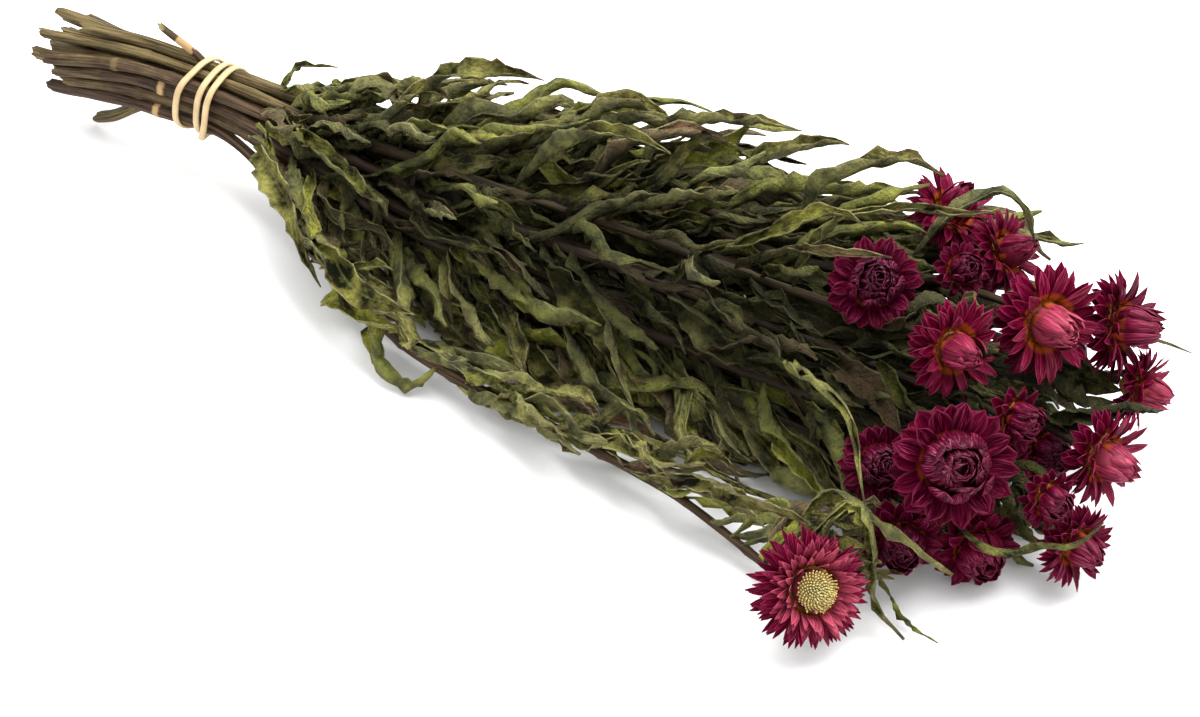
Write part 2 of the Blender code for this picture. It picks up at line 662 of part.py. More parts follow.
def bloom(head, turn, bends, rng_seed):
    """A head of bracts: rings of pointed bracts round a core, as one closed mesh.

    Each bract has an upper and a lower face that share its outline. Its outline starts and
    ends in notches that it shares with the next bracts. bends holds, for each bract, how
    far it is folded up and shortened to stay clear of what is beside it.
    """
    rng = random.Random(rng_seed)
    radius, form = head[2] / 2, head[3]
    rings, dome = RINGS[form], DOME[form]
    points, faces, owner = [], [], {}

    def add(distance, height, angle):
        points.append(Vector((distance * math.cos(angle), distance * math.sin(angle), height)) * radius)
        return len(points) - 1

    count = rings[0][0]
    half = math.pi / count
    base = [add(max(0.10, 0.0019 / radius), 0.0, 2 * half * i) for i in range(count)]
    faces.append(tuple(reversed(base)))
    below = None
    for ring, (count, height, seat, open_angle, length, width, bend) in enumerate(rings):
        start = ring * half
        notches = [add(seat, height, start + 2 * half * i) for i in range(count)]
        tops = [add(seat - 0.02, height + BRACT_SEAT, start + half * (2 * i + 1)) for i in range(count)]
        unders = [add(seat + 0.02, height - BRACT_SEAT, start + half * (2 * i + 1)) for i in range(count)]
        if below is None:
            for i in range(count):
                j = (i + 1) % count
                faces.append((base[i], base[j], unders[i]))
                faces.append((base[i], unders[i], notches[i]))
                faces.append((base[j], notches[j], unders[i]))
        else:
            for i in range(count):
                j = (i + 1) % count
                lower, over, further = [below[(2 * i + k) % (2 * count)] for k in (1, 2, 3)]
                faces.append((lower, over, unders[i]))
                faces.append((lower, unders[i], notches[i]))
                faces.append((over, further, notches[j]))
                faces.append((over, notches[j], unders[i]))
        for i in range(count):
            middle = start + half * (2 * i + 1)
            folded, kept = bends.get((ring, i), (0.0, 1.0))
            angle = math.radians(open_angle + rng.uniform(-7, 7)) * (1 - folded)
            reach = length * rng.uniform(0.90, 1.06) * kept
            sway = rng.uniform(-0.10, 0.10)
            tip_angle = angle + math.radians(bend)
            side_out = seat + 0.55 * reach * math.sin(angle)
            side_up = height + 0.55 * reach * math.cos(angle) + 0.03
            tip_out = side_out + 0.45 * reach * math.sin(tip_angle)
            tip_up = side_up - 0.03 + 0.45 * reach * math.cos(tip_angle)
            spread = min(width / 2 / side_out, half * 0.86)
            left = add(side_out, side_up, middle - spread)
            right = add(side_out, side_up, middle + spread)
            tip = add(tip_out, tip_up, middle + sway)
            outline = (notches[i], left, tip, right, notches[(i + 1) % count])
            for a, b in zip(outline, outline[1:]):
                owner[len(faces)] = (ring, i)
                faces.append((tops[i], a, b))
                owner[len(faces)] = (ring, i)
                faces.append((unders[i], b, a))
        below = []
        for i in range(count):
            below += [notches[i], tops[i]]
    (low_height, low_radius), (high_height, high_radius), top_height = dome
    start = len(rings) * half
    low = [add(low_radius, low_height, start + 2 * half * i) for i in range(count)]
    high = [add(high_radius, high_height, start + half * (2 * i + 1)) for i in range(count)]
    top = add(0.0, top_height, 0.0)
    for i in range(count):
        j = (i + 1) % count
        lower, over, further = [below[(2 * i + k) % (2 * count)] for k in (1, 2, 3)]
        faces += [(lower, over, low[i]), (over, further, low[j]), (over, low[j], low[i])]
        faces += [(low[i], low[j], high[i]), (low[j], high[j], high[i]), (high[i], high[j], top)]
    placed = [turn @ point for point in points]
    return placed, faces, owner


def settle(points, floor):
    """Lift what would pass through the surface that the bunch lies on."""
    return [Vector((point.x, point.y, max(point.z, floor))) for point in points]


def fit_heads(stems, turns):
    """Every head, with the bracts that would cross another piece folded up or shortened."""
    count = len(HEADS)
    bends = [{} for head in HEADS]
    stem_trees = []
    for stem in stems:
        tube = stem_tube(stem)
        stem_trees.append((box_of(tube[0]), tree_of(*tube)))
    meshes = [None] * count
    for index in range(count):
        floor = 0.0 if index in RESTING_HEADS else 0.0008
        for attempt in range(HEAD_TRIES):
            points, faces, owner = bloom(HEADS[index], turns[index], bends[index], SEED + index)
            points = settle(points, floor)
            test = HEADS[index][2] * HEAD_SPARE
            middle = Vector(HEADS[index][0])
            grown = [point + (point - middle).normalized() * test for point in points]
            tree = tree_of(grown, faces)
            hit = set()
            others = stem_trees[:index] + stem_trees[index + 1:]
            others += [(box_of(mesh[0]), tree_of(mesh[0], mesh[1])) for mesh in meshes[:index]]
            low, high = box_of(grown)
            for (other_low, other_high), other in others:
                if (low > other_high).any() or (high < other_low).any():
                    continue
                for mine, theirs in tree.overlap(other):
                    hit.add(owner.get(mine, "core"))
            if not hit - {"core"}:
                break
            for key in hit - {"core"}:
                folded, kept = bends[index].get(key, (0.0, 1.0))
                bends[index][key] = (min(folded + FOLD_STEP, FOLD_MOST), kept * SHORTEN_STEP)
        meshes[index] = (points, faces)
    return meshes


def open_disc(head, turn):
    """The yellow disc of the open head, a low dome in its cup."""
    radius = head[2] / 2
    points = [turn @ (Vector((0, 0, DISC_UNDER)) * radius + Vector((0, 0, GAP)))]
    for distance, height in DISC_PROFILE:
        for i in range(DISC_SIDES):
            angle = 2 * math.pi * i / DISC_SIDES
            spot = Vector((distance * math.cos(angle), distance * math.sin(angle), height)) * radius
            points.append(turn @ (spot + Vector((0, 0, GAP))))
    points.append(turn @ (Vector((0, 0, DISC_TOP)) * radius))
    faces = []
    for i in range(DISC_SIDES):
        j = (i + 1) % DISC_SIDES
        faces.append((0, 1 + j, 1 + i))
        for row in range(len(DISC_PROFILE) - 1):
            a = 1 + row * DISC_SIDES
            b = a + DISC_SIDES
            faces += [(a + i, a + j, b + j), (a + i, b + j, b + i)]
        end = 1 + (len(DISC_PROFILE) - 1) * DISC_SIDES
        faces.append((end + i, end + j, len(points) - 1))
    return points, faces


# Tie

def band_route(slots, thick):
    """The middle line of the rubber band: three turns on the stems, then back across them."""
    route = []
    total = 3 * BAND_STEPS
    for step in range(total):
        angle = 2 * math.pi * step / BAND_STEPS
        lap, share = divmod(step, BAND_STEPS)
        share /= BAND_STEPS
        facing = angle - math.pi / 2
        normal = np.array((math.cos(facing), math.sin(facing)))
        reach = [slot @ normal + radius for slot, radius in zip(slots, thick)]
        best = int(np.argmax(reach))
        # The turns change over on the underside, where the last one crosses the others
        late = np.clip((share - 1 + BAND_CHANGE) / BAND_CHANGE, 0, 1) * 0.5
        early = np.clip((BAND_CHANGE - share) / BAND_CHANGE, 0, 1) * 0.5
        after, before = (lap + 1) % 3, (lap - 1) % 3
        x = BAND_TURN_X[lap] * (1 - late - early) + BAND_TURN_X[after] * late
        x += BAND_TURN_X[before] * early
        x += BAND_TURN_LEAN[lap] * math.cos(facing - math.radians(45))
        lift = 0.0
        start, ramp = BAND_CROSSING
        if lap == 2:
            lift = np.clip((share - 1 + start) / ramp, 0, 1)
        if lap == 0:
            lift = np.clip((start - share) / ramp, 0, 1)
        offset = thick[best] + GAP * 2.2 + BAND_THICKNESS / 2 + lift * (BAND_THICKNESS + GAP * 2)
        across = slots[best] + normal * offset
        route.append((TIE_X + x, TIE_Y + across[0], TIE_Z + across[1], normal))
    return route


def band_solid(route):
    """The band as a closed loop with a flat four-sided section."""
    points, faces = [], []
    count = len(route)
    for step, (x, y, z, normal) in enumerate(route):
        before, after = route[step - 1], route[(step + 1) % count]
        tangent = unit(np.array(after[:3]) - np.array(before[:3]))
        out = np.array((0, normal[0], normal[1]))
        out = unit(out - tangent * np.dot(out, tangent))
        wide = np.cross(tangent, out)
        centre = np.array((x, y, z))
        for a, b in ((-1, -1), (1, -1), (1, 1), (-1, 1)):
            points.append(centre + wide * a * BAND_WIDTH / 2 + out * b * BAND_THICKNESS / 2)
    for step in range(count):
        a, b = step * 4, (step + 1) % count * 4
        for corner in range(4):
            following = (corner + 1) % 4
            faces.append((a + corner, b + following, a + following))
            faces.append((a + corner, b + corner, b + following))
    return points, faces


def build():
    clear_scene()
    rng = random.Random(SEED)
    stem_finish = material("dried_stem_and_leaf", (0.16, 0.17, 0.07), 0.85)
    bract_finish = material("papery_bract", (0.42, 0.02, 0.12), 0.38)
    disc_finish = material("disc_floret", (0.78, 0.66, 0.30), 0.80)
    band_finish = material("rubber_band", (0.80, 0.66, 0.44), 0.55)
    stems, slots, thick = stem_routes(rng)
    turns = [head_turn(head, rng) for head in HEADS]
    heads = fit_heads(stems, turns)
    band = band_solid(band_route(slots, thick))
    obstacles = {"band": (box_of(band[0]), tree_of(*band))}
    tubes = [stem_tube(stem) for stem in stems]
    for index, (tube, head) in enumerate(zip(tubes, heads)):
        obstacles["stem", index] = (box_of(tube[0]), tree_of(*tube))
        obstacles["head", index] = (box_of(head[0]), tree_of(*head))
    leaves = grow_leaves(stems, obstacles)
    for index in range(len(stems)):
        join_solids(f"leafy_stem_{index + 1:02d}", [tubes[index]] + leaves[index], stem_finish)
        solid(f"flower_head_{index + 1:02d}", *heads[index], bract_finish)
        if HEADS[index][3] == "open":
            solid("open_head_disc", *open_disc(HEADS[index], turns[index]), disc_finish)
    solid("rubber_band_tie", *band, band_finish)


build()
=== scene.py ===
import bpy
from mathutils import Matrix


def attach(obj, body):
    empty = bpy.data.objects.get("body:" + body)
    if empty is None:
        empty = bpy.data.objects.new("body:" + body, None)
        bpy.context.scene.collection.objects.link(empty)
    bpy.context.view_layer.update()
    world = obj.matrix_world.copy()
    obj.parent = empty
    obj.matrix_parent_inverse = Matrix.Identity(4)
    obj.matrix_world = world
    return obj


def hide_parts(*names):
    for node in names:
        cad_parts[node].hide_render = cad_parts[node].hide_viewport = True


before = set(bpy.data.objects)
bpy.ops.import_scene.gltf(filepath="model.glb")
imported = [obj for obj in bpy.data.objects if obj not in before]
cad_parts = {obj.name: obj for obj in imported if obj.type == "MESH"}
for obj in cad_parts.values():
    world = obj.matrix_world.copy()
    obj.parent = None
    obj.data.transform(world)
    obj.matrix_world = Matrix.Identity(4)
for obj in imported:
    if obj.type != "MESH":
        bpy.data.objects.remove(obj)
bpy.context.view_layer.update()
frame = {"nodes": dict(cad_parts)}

import math
import random

import bpy
import numpy as np
from mathutils import Matrix, Vector
from mathutils.bvhtree import BVHTree

# Camera and light
# The bunch lies on a white table under soft light from above and behind, and is seen from
# over its near side, with the cut ends of the stems at the upper left.
VIEW_TURN = math.radians(32.0)
VIEW_RISE = math.radians(40.0)
VIEW_DISTANCE = 1.2
VIEW_LENS = 90.4
FILM_WIDTH = 36.0
VIEW_CENTRE = Vector((0.0373, 0.0097, 0.0))
# Place, size and power of each light
LIGHTS = {"key": ((0.30, 0.50, 1.45), 1.6, 66.0), "fill": ((-0.6, -1.1, 1.1), 1.8, 11.0)}
SKY_STRENGTH = 1.15


def placed(name, data):
    """A new object in the scene, at the origin."""
    made = bpy.data.objects.new(name, data)
    bpy.context.scene.collection.objects.link(made)
    return made


back = Vector((math.sin(VIEW_TURN) * math.cos(VIEW_RISE),
               -math.cos(VIEW_TURN) * math.cos(VIEW_RISE), math.sin(VIEW_RISE)))
right = Vector((math.cos(VIEW_TURN), math.sin(VIEW_TURN), 0.0))
turn = Matrix((right, back.cross(right), back)).transposed().to_4x4()
lens = bpy.data.cameras.new("camera")
lens.lens = VIEW_LENS
lens.sensor_width = FILM_WIDTH
camera = placed("camera", lens)
camera.matrix_world = Matrix.Translation(VIEW_CENTRE + back * VIEW_DISTANCE) @ turn
bpy.context.scene.camera = camera
bpy.context.scene.view_settings.view_transform = "Standard"

for name, (spot, size, power) in LIGHTS.items():
    light = bpy.data.lights.new(name, "AREA")
    light.size = size
    light.energy = power
    facing = (VIEW_CENTRE - Vector(spot)).to_track_quat("-Z", "Y").to_matrix().to_4x4()
    placed(name, light).matrix_world = Matrix.Translation(spot) @ facing
sky = bpy.data.worlds.new("sky")
sky.use_nodes = True
sky_light = sky.node_tree.nodes["Background"]
sky_light.inputs["Color"].default_value = (1.0, 1.0, 1.0, 1.0)
sky_light.inputs["Strength"].default_value = SKY_STRENGTH
bpy.context.scene.world = sky


# Table top
# A plain white sheet of card under the bunch, which is not part of it. It is far wider than
# the view, so that no edge of it shows.
TABLE_HALF = 4.0
TABLE_Z = -0.0002


class Value:
    """The output of a node. Sums written on it add Math nodes to its tree."""

    def __init__(self, nodes, socket):
        self.nodes = nodes
        self.socket = socket

    def maths(self, operation, *others):
        return self.nodes.add("ShaderNodeMath", {"operation": operation}, (self, *others))

    def __add__(self, other):
        return self.maths("ADD", other)

    __radd__ = __add__

    def __sub__(self, other):
        return self.maths("SUBTRACT", other)

    def __rsub__(self, other):
        return self.nodes.add("ShaderNodeMath", {"operation": "SUBTRACT"}, (other, self))

    def __mul__(self, other):
        return self.maths("MULTIPLY", other)

    __rmul__ = __mul__

    def __truediv__(self, other):
        return self.maths("DIVIDE", other)

    def __pow__(self, other):
        return self.maths("POWER", other)

    def __abs__(self):
        return self.maths("ABSOLUTE")

    def sin(self):
        return self.maths("SINE")

    def cos(self):
        return self.maths("COSINE")

    def clamped(self):
        return self.nodes.add("ShaderNodeClamp", {}, (self, 0.0, 1.0))

    def above(self, edge, soft):
        """0 below the edge and 1 above it, with a soft step."""
        return ((self - (edge - soft / 2)) / soft).clamped()

    def other(self, name):
        """Another output of the same node."""
        return Value(self.nodes, self.socket.node.outputs[name])


class Nodes:
    """A node tree. add makes any node: its type, its settings, then its inputs."""

    def __init__(self, tree):
        self.tree = tree

    def add(self, kind, settings, inputs, output=0):
        node = self.tree.nodes.new(kind)
        for key, setting in settings.items():
            setattr(node, key, setting)
        named = inputs.items() if isinstance(inputs, dict) else enumerate(inputs)
        for key, given in named:
            if isinstance(given, Value):
                self.tree.links.new(given.socket, node.inputs[key])
            else:
                node.inputs[key].default_value = given
        return Value(self, node.outputs[output])

    def mix(self, share, first, second):
        """A colour between two colours, each red, green and blue or a Value."""
        shown = [colour if isinstance(colour, Value) else (*colour, 1.0) for colour in (first, second)]
        inputs = {0: share, 6: shown[0], 7: shown[1]}
        return self.add("ShaderNodeMix", {"data_type": "RGBA", "clamp_factor": True}, inputs, 2)

    def noise(self, vector, scale, detail=2.0, rough=0.5):
        inputs = {"Vector": vector, "Scale": scale, "Detail": detail, "Roughness": rough}
        return self.add("ShaderNodeTexNoise", {}, inputs, "Fac")

    def place(self):
        return self.add("ShaderNodeTexCoord", {}, {}, "Object")

    def mark(self, name):
        """The value that a piece's mesh stores under a name."""
        return self.add("ShaderNodeAttribute", {"attribute_name": name}, {}, "Fac")

    def xyz(self, x, y, z):
        return self.add("ShaderNodeCombineXYZ", {}, (x, y, z))


def new_finish(name):
    """A material, its nodes and the sockets of its Principled shader."""
    made = bpy.data.materials.new(name)
    made.use_nodes = True
    return made, Nodes(made.node_tree), made.node_tree.nodes["Principled BSDF"].inputs


def feed(socket, value):
    value.nodes.tree.links.new(value.socket, socket)


def feed_bump(socket, height, strength, distance):
    inputs = {"Strength": strength, "Distance": distance, "Height": height}
    feed(socket, height.nodes.add("ShaderNodeBump", {}, inputs, "Normal"))


table_mesh = bpy.data.meshes.new("table_top")
corners = [(a * TABLE_HALF, b * TABLE_HALF, TABLE_Z) for a, b in ((-1, -1), (1, -1), (1, 1), (-1, 1))]
table_mesh.from_pydata(corners, [], [(0, 1, 2, 3)])
table = placed("table_top", table_mesh)
finish, nodes, sockets = new_finish("white_card")
sockets["Roughness"].default_value = 0.9
sockets["Specular IOR Level"].default_value = 0.1
grain = nodes.noise(nodes.place(), 900.0)
feed(sockets["Base Color"], nodes.mix(grain, (0.86, 0.86, 0.865), (0.89, 0.89, 0.89)))
table_mesh.materials.append(finish)


# Stems
# Twenty dried stems, thick and brown at their cut ends, run through the tie and fan out to
# the heads. Each is grown to its own length, ribbed lengthwise and dented where it dried.
# Their lines repeat those of the solid stems, and the leaves are added to them below.
SEED = 23
CENTRE_SHIFT = np.array((0.0043, 0.0067, 0.0))
GAP = 0.0003
# The bunch along its length: x, middle y, half width, middle z, half height
BUNCH = np.array((
    (-0.165, 0.026, 0.014, 0.037, 0.014),
    (-0.120, 0.021, 0.024, 0.040, 0.020),
    (-0.080, 0.015, 0.052, 0.042, 0.035),
    (-0.030, 0.010, 0.074, 0.045, 0.041),
    (0.030, 0.011, 0.083, 0.048, 0.045),
    (0.100, 0.010, 0.093, 0.049, 0.046),
    (0.160, 0.012, 0.098, 0.049, 0.047),
    (0.220, 0.012, 0.090, 0.047, 0.045),
))
# Heads: place of the bract ring, the way the head faces, diameter and form
HEADS = (
    ((0.145, 0.078, 0.070), (0.45, 0.10, 0.85), 0.038, "spiky"),
    ((0.143, 0.019, 0.074), (0.40, -0.55, 0.75), 0.037, "closed"),
    ((0.167, 0.043, 0.074), (0.62, -0.30, 0.70), 0.024, "small"),
    ((0.171, 0.0735, 0.064), (0.80, 0.10, 0.60), 0.036, "spiky"),
    ((0.204, 0.040, 0.067), (0.83, -0.45, 0.30), 0.047, "spiky"),
    ((0.2225, 0.066, 0.056), (0.95, 0.10, 0.20), 0.044, "spiky"),
    ((0.236, 0.061, 0.034), (0.95, 0.10, -0.10), 0.034, "spiky"),
    ((0.184, 0.003, 0.072), (0.82, -0.47, 0.33), 0.039, "spiky"),
    ((0.215, -0.0075, 0.060), (0.90, -0.25, 0.25), 0.028, "small"),
    ((0.207, -0.041, 0.060), (0.50, -0.60, 0.60), 0.047, "closed"),
    ((0.243, 0.010, 0.042), (0.92, -0.20, 0.05), 0.040, "spiky"),
    ((0.237, -0.023, 0.044), (0.85, -0.45, 0.20), 0.025, "small"),
    ((0.215, -0.031, 0.0155), (0.75, -0.65, 0.05), 0.034, "closed"),
    ((0.195, -0.0515, 0.026), (0.50, -0.80, 0.10), 0.031, "closed"),
    ((0.247, -0.016, 0.021), (0.90, -0.35, 0.05), 0.034, "spiky"),
    ((0.181, -0.093, 0.0280), (0.62, -0.52, 0.58), 0.048, "open"),
    ((0.150, 0.088, 0.030), (0.55, 0.80, 0.10), 0.032, "closed"),
    ((0.190, 0.086, 0.0150), (0.75, 0.65, 0.00), 0.034, "spiky"),
    ((0.219, 0.0155, 0.028), (0.80, -0.30, 0.30), 0.030, "closed"),
    ((0.1755, -0.032, 0.038), (0.50, -0.60, 0.60), 0.032, "closed"),
)
SEAT_HEIGHT = 0.45
CORE_REACH = 0.46
STEM_RADIUS = 0.0027
NECK_RADIUS = 0.0015
CUT_END_X = -0.262
CUT_END_SPLAY = 1.35
CUT_END_TWIST = math.radians(32)
STATION = 0.008
STEM_CLEAR = 0.0009
FLOOR_CLEAR = 0.0012
LANE_BACK = 0.030
STEM_SPREAD = 0.86
NECK_LENGTH = 0.014
# Places along a stem, from the tie, where it bends
STEM_MARKS = (-0.030, -0.010, 0.010, 0.030, 0.060, 0.100, 0.145, 0.190, 0.235, 0.280, 0.320, 0.355,
              0.390)
REST_STEM_CUT_X = -0.238
REST_LENGTH = 0.006
LOWEST_LINE = STEM_RADIUS * 0.8
TIE_X = -0.172
TIE_Y = 0.025
TIE_Z = 0.037
PACKING_TURNS = 600
SETTLING_TURNS = 300
# The fine stem: its rings, the torn ones at the cut end, and a peeled side shoot near the tie
STEM_RING = 0.0026
STEM_SIDES = 14
CUT_END_FINE_X = -0.165
TORN_RINGS = 5
LEAFY_FROM_X = -0.15
SHOOT_STEM = 4
SHOOT_RADIUS = 0.0018
SHOOT_LINE = ((-0.1990, 0.0260, 0.0625), (-0.1900, 0.0272, 0.0575), (-0.1840, 0.0284, 0.0535),
              (-0.1795, 0.0288, 0.0500))
PEELED_X = (-0.1915, -0.1845)


def unit(vector):
    return vector / np.linalg.norm(vector)


def bunch_at(x):
    """Middle y, half width, middle z and half height of the bunch at x, smoothed."""
    near = x + np.array((-0.024, -0.012, 0.0, 0.012, 0.024))
    return [float(np.mean(np.interp(near, BUNCH[:, 0], BUNCH[:, k]))) for k in (1, 2, 3, 4)]


def place_in_bunch(point):
    """Where a point is in its cross-section, as parts of the half width and height."""
    middle_y, half_y, middle_z, half_z = bunch_at(point[0])
    return (point[1] - middle_y) / half_y, (point[2] - middle_z) / half_z


def fullness(across, up):
    """0 in the middle of the cross-section of the bunch, 1 at its outline, and more outside."""
    return abs(across)**2.3 + abs(up)**2.3


def flow_at(point):
    """The way stems and leaves run at a point, along the bunch and fanning out with it."""
    step = 0.01
    across, up = place_in_bunch(point)
    middle_y, half_y, middle_z, half_z = bunch_at(point[0] + step)
    ahead = np.array((point[0] + step, middle_y + across * half_y, middle_z + up * half_z))
    return unit(ahead - point)


def run_along(points):
    """How far along a line each of its points lies."""
    return np.concatenate(([0], np.cumsum(np.linalg.norm(np.diff(points, axis=0), axis=1))))


def curve_at(points, knots, along):
    """Points of the smooth curve that passes each given point at its knot."""
    slopes = np.gradient(points, knots, axis=0)
    span = np.clip(np.searchsorted(knots, along, side="right") - 1, 0, len(knots) - 2)
    width = (knots[span + 1] - knots[span])[:, None]
    t = (along[:, None] - knots[span][:, None]) / width
    start = (2 * t**3 - 3 * t**2 + 1) * points[span] + (t**3 - 2 * t**2 + t) * width * slopes[span]
    end = (3 * t**2 - 2 * t**3) * points[span + 1] + (t**3 - t**2) * width * slopes[span + 1]
    return start + end


def smooth_route(points, spacing):
    """Even points along a smooth curve through the given ones."""
    points = np.array(points, float)
    knots = run_along(points)
    return curve_at(points, knots, np.linspace(0, knots[-1], max(4, int(knots[-1] / spacing))))


def head_axis(head):
    return unit(np.array(head[1]))


def head_base(head):
    """The point where a head sits on its stem."""
    return np.array(head[0]) - head_axis(head) * SEAT_HEIGHT * head[2] / 2


def stem_lane(head):
    """Where in the cross-section of the bunch the stem of a head runs."""
    return place_in_bunch(head_base(head) - head_axis(head) * LANE_BACK)


def push_apart(places, radii):
    """Move circles that overlap away from each other, in place."""
    apart = places[:, None] - places[None]
    distance = np.linalg.norm(apart, axis=-1) + 1e-9
    short = np.maximum(radii[:, None] + radii[None] - distance, 0)
    index = np.arange(len(places))
    short[index, index] = 0
    places += (apart / distance[..., None] * short[..., None]).sum(axis=1) * 0.4


def packed_slots(radii):
    """Where each stem passes through the tie: as in the bunch, and packed together."""
    slots = np.array([stem_lane(head) for head in HEADS]) * STEM_RADIUS * 4.5
    room = np.array(radii) + GAP * 0.7
    for turn in range(PACKING_TURNS):
        slots *= 1 - 0.012 * (1 - turn / PACKING_TURNS)
        for again in range(3):
            push_apart(slots, room)
    for turn in range(PACKING_TURNS // 3):
        push_apart(slots, room)
    return slots - slots.mean(axis=0)


def stem_wish(index, slot, rests, rng):
    """The line a stem would take: cut end, tie, fan of the bunch, neck, head."""
    head = HEADS[index]
    base = head_base(head) - head_axis(head) * GAP
    across, up = stem_lane(head)
    turned = Matrix.Rotation(CUT_END_TWIST, 2) @ Vector(slot)
    cut_x = CUT_END_X + rng.uniform(-0.008, 0.022)
    cut = [cut_x, TIE_Y + turned.x * CUT_END_SPLAY, TIE_Z - 0.004 + turned.y * CUT_END_SPLAY]
    if rests:
        cut = [REST_STEM_CUT_X, TIE_Y + slot[0], LOWEST_LINE]
    points = [cut]
    for x in (TIE_X - 0.020, TIE_X - 0.010, TIE_X, TIE_X + 0.014):
        points.append((x, TIE_Y + slot[0], TIE_Z + slot[1]))
    neck = base - head_axis(head) * NECK_LENGTH
    for x in (-0.125, -0.075, -0.020, 0.040, 0.095, 0.140, 0.180):
        if x > neck[0] - 0.038:
            break
        middle_y, half_y, middle_z, half_z = bunch_at(x)
        side, rise = across * half_y * STEM_SPREAD, up * half_z * STEM_SPREAD
        points.append((x, middle_y + side, middle_z + rise))
    points += [neck, base]
    return smooth_route(points, 0.004)


def stem_radius(x, base_x, thick):
    """A stem is thickest at the tie and thins to its neck."""
    along = np.clip((x - TIE_X) / (base_x - TIE_X), 0, 1)
    return thick * (1 - along) + NECK_RADIUS * along


def stem_routes(rng):
    """All stems as y and z at even stations of x, pushed clear of each other and of heads."""
    thick = [STEM_RADIUS * rng.uniform(0.84, 1.08) for head in HEADS]
    slots = packed_slots(thick)
    lowest = int(np.argmin(slots[:, 1]))
    wishes = [stem_wish(index, slots[index], index == lowest, rng) for index in range(len(HEADS))]
    first = min(route[0][0] for route in wishes)
    last = max(route[-1][0] for route in wishes)
    stations = np.arange(first, last + STATION, STATION)
    count = len(HEADS)
    wish = np.zeros((count, len(stations), 2))
    live = np.zeros((count, len(stations)), bool)
    free = np.zeros((count, len(stations)))
    radii = np.zeros((count, len(stations)))
    for i, route in enumerate(wishes):
        for k in (0, 1):
            wish[i, :, k] = np.interp(stations, route[:, 0], route[:, k + 1])
        live[i] = (stations > route[0][0] - STATION) & (stations < route[-1][0] + STATION)
        free[i] = np.clip(np.abs(stations - TIE_X) / 0.02 - 0.8, 0, 1)
        free[i] *= np.clip((route[-1][0] - stations) / 0.02 - 0.4, 0, 1)
        radii[i] = stem_radius(stations, route[-1][0], thick[i])
    middles = np.array([np.array(head[0]) + head_axis(head) * 0.1 * head[2] for head in HEADS])
    sizes = np.array([head[2] for head in HEADS])
    others = 1 - np.eye(count)[:, :, None]
    both = live[:, None] & live[None]
    shift = np.zeros_like(wish)
    for turn in range(SETTLING_TURNS):
        place = wish + shift
        slope = np.linalg.norm(np.gradient(place, STATION, axis=1), axis=2)
        stretch = np.sqrt(1 + slope**2)
        # Other stems at the same station
        apart = place[:, None] - place[None]
        distance = np.linalg.norm(apart, axis=-1) + 1e-9
        need = (radii[:, None] + radii[None] + STEM_CLEAR) * np.maximum(stretch[:, None], stretch[None])
        short = np.where(both, np.maximum(need - distance, 0), 0) * others
        push = (apart / distance[..., None] * short[..., None]).sum(axis=1) * 0.35
        # Heads on the other stems, as balls
        keep = CORE_REACH * sizes[None, :, None] + radii[:, None] + 0.001
        reach = np.sqrt(np.maximum(keep**2 - (stations - middles[:, :1])[None]**2, 0))
        apart = place[:, None] - middles[None, :, None, 1:]
        distance = np.linalg.norm(apart, axis=-1) + 1e-9
        short = np.where(live[:, None], np.maximum(reach - distance, 0), 0) * others
        push += (apart / distance[..., None] * short[..., None]).sum(axis=1) * 0.3
        push[:, :, 1] += np.maximum(radii + FLOOR_CLEAR - place[:, :, 1], 0) * 0.5
        shift += push * free[:, :, None]
        smooth = shift.copy()
        smooth[:, 1:-1] = shift[:, 1:-1] * 0.5 + (shift[:, :-2] + shift[:, 2:]) * 0.25
        shift = smooth * np.minimum(free * 4, 1)[:, :, None]
    place = wish + shift
    stems = []
    for i, route in enumerate(wishes):
        start_x, end_x = route[0][0], route[-1][0]
        marks = [start_x]
        if i == lowest:
            marks.append(start_x + REST_LENGTH)
        marks += [TIE_X + x for x in STEM_MARKS if start_x + 0.012 < TIE_X + x < end_x - 0.022]
        marks.append(end_x - 0.012)
        line = [(x, *[np.interp(x, stations, place[i][:, k]) for k in (0, 1)]) for x in marks]
        line.append(tuple(route[-1]))
        stems.append({"line": np.array(line), "thick": thick[i]})
    return stems, slots, thick


def stem_point(stem, x):
    """A point on a stem's middle line, which runs straight from mark to mark."""
    line = stem["line"]
    return np.array([np.interp(x, line[:, 0], line[:, k]) for k in range(3)])


def stem_tangent(stem, x):
    return unit(stem_point(stem, x + 0.006) - stem_point(stem, x - 0.006))


def ring_frame(tangent, lean=None):
    """Two directions across a tangent, the first as near level as it can be."""
    side = np.cross((0, 0, 1), tangent) if lean is None else lean - tangent * np.dot(lean, tangent)
    side = unit(side)
    return side, np.cross(tangent, side)


def tube_faces(count, sides):
    """Faces between rings of points, each from one ring to the next."""
    faces = []
    for start in range(0, (count - 1) * sides, sides):
        for corner in range(sides):
            following = (corner + 1) % sides
            beyond = start + sides
            faces.append((start + corner, start + following, beyond + following, beyond + corner))
    return faces


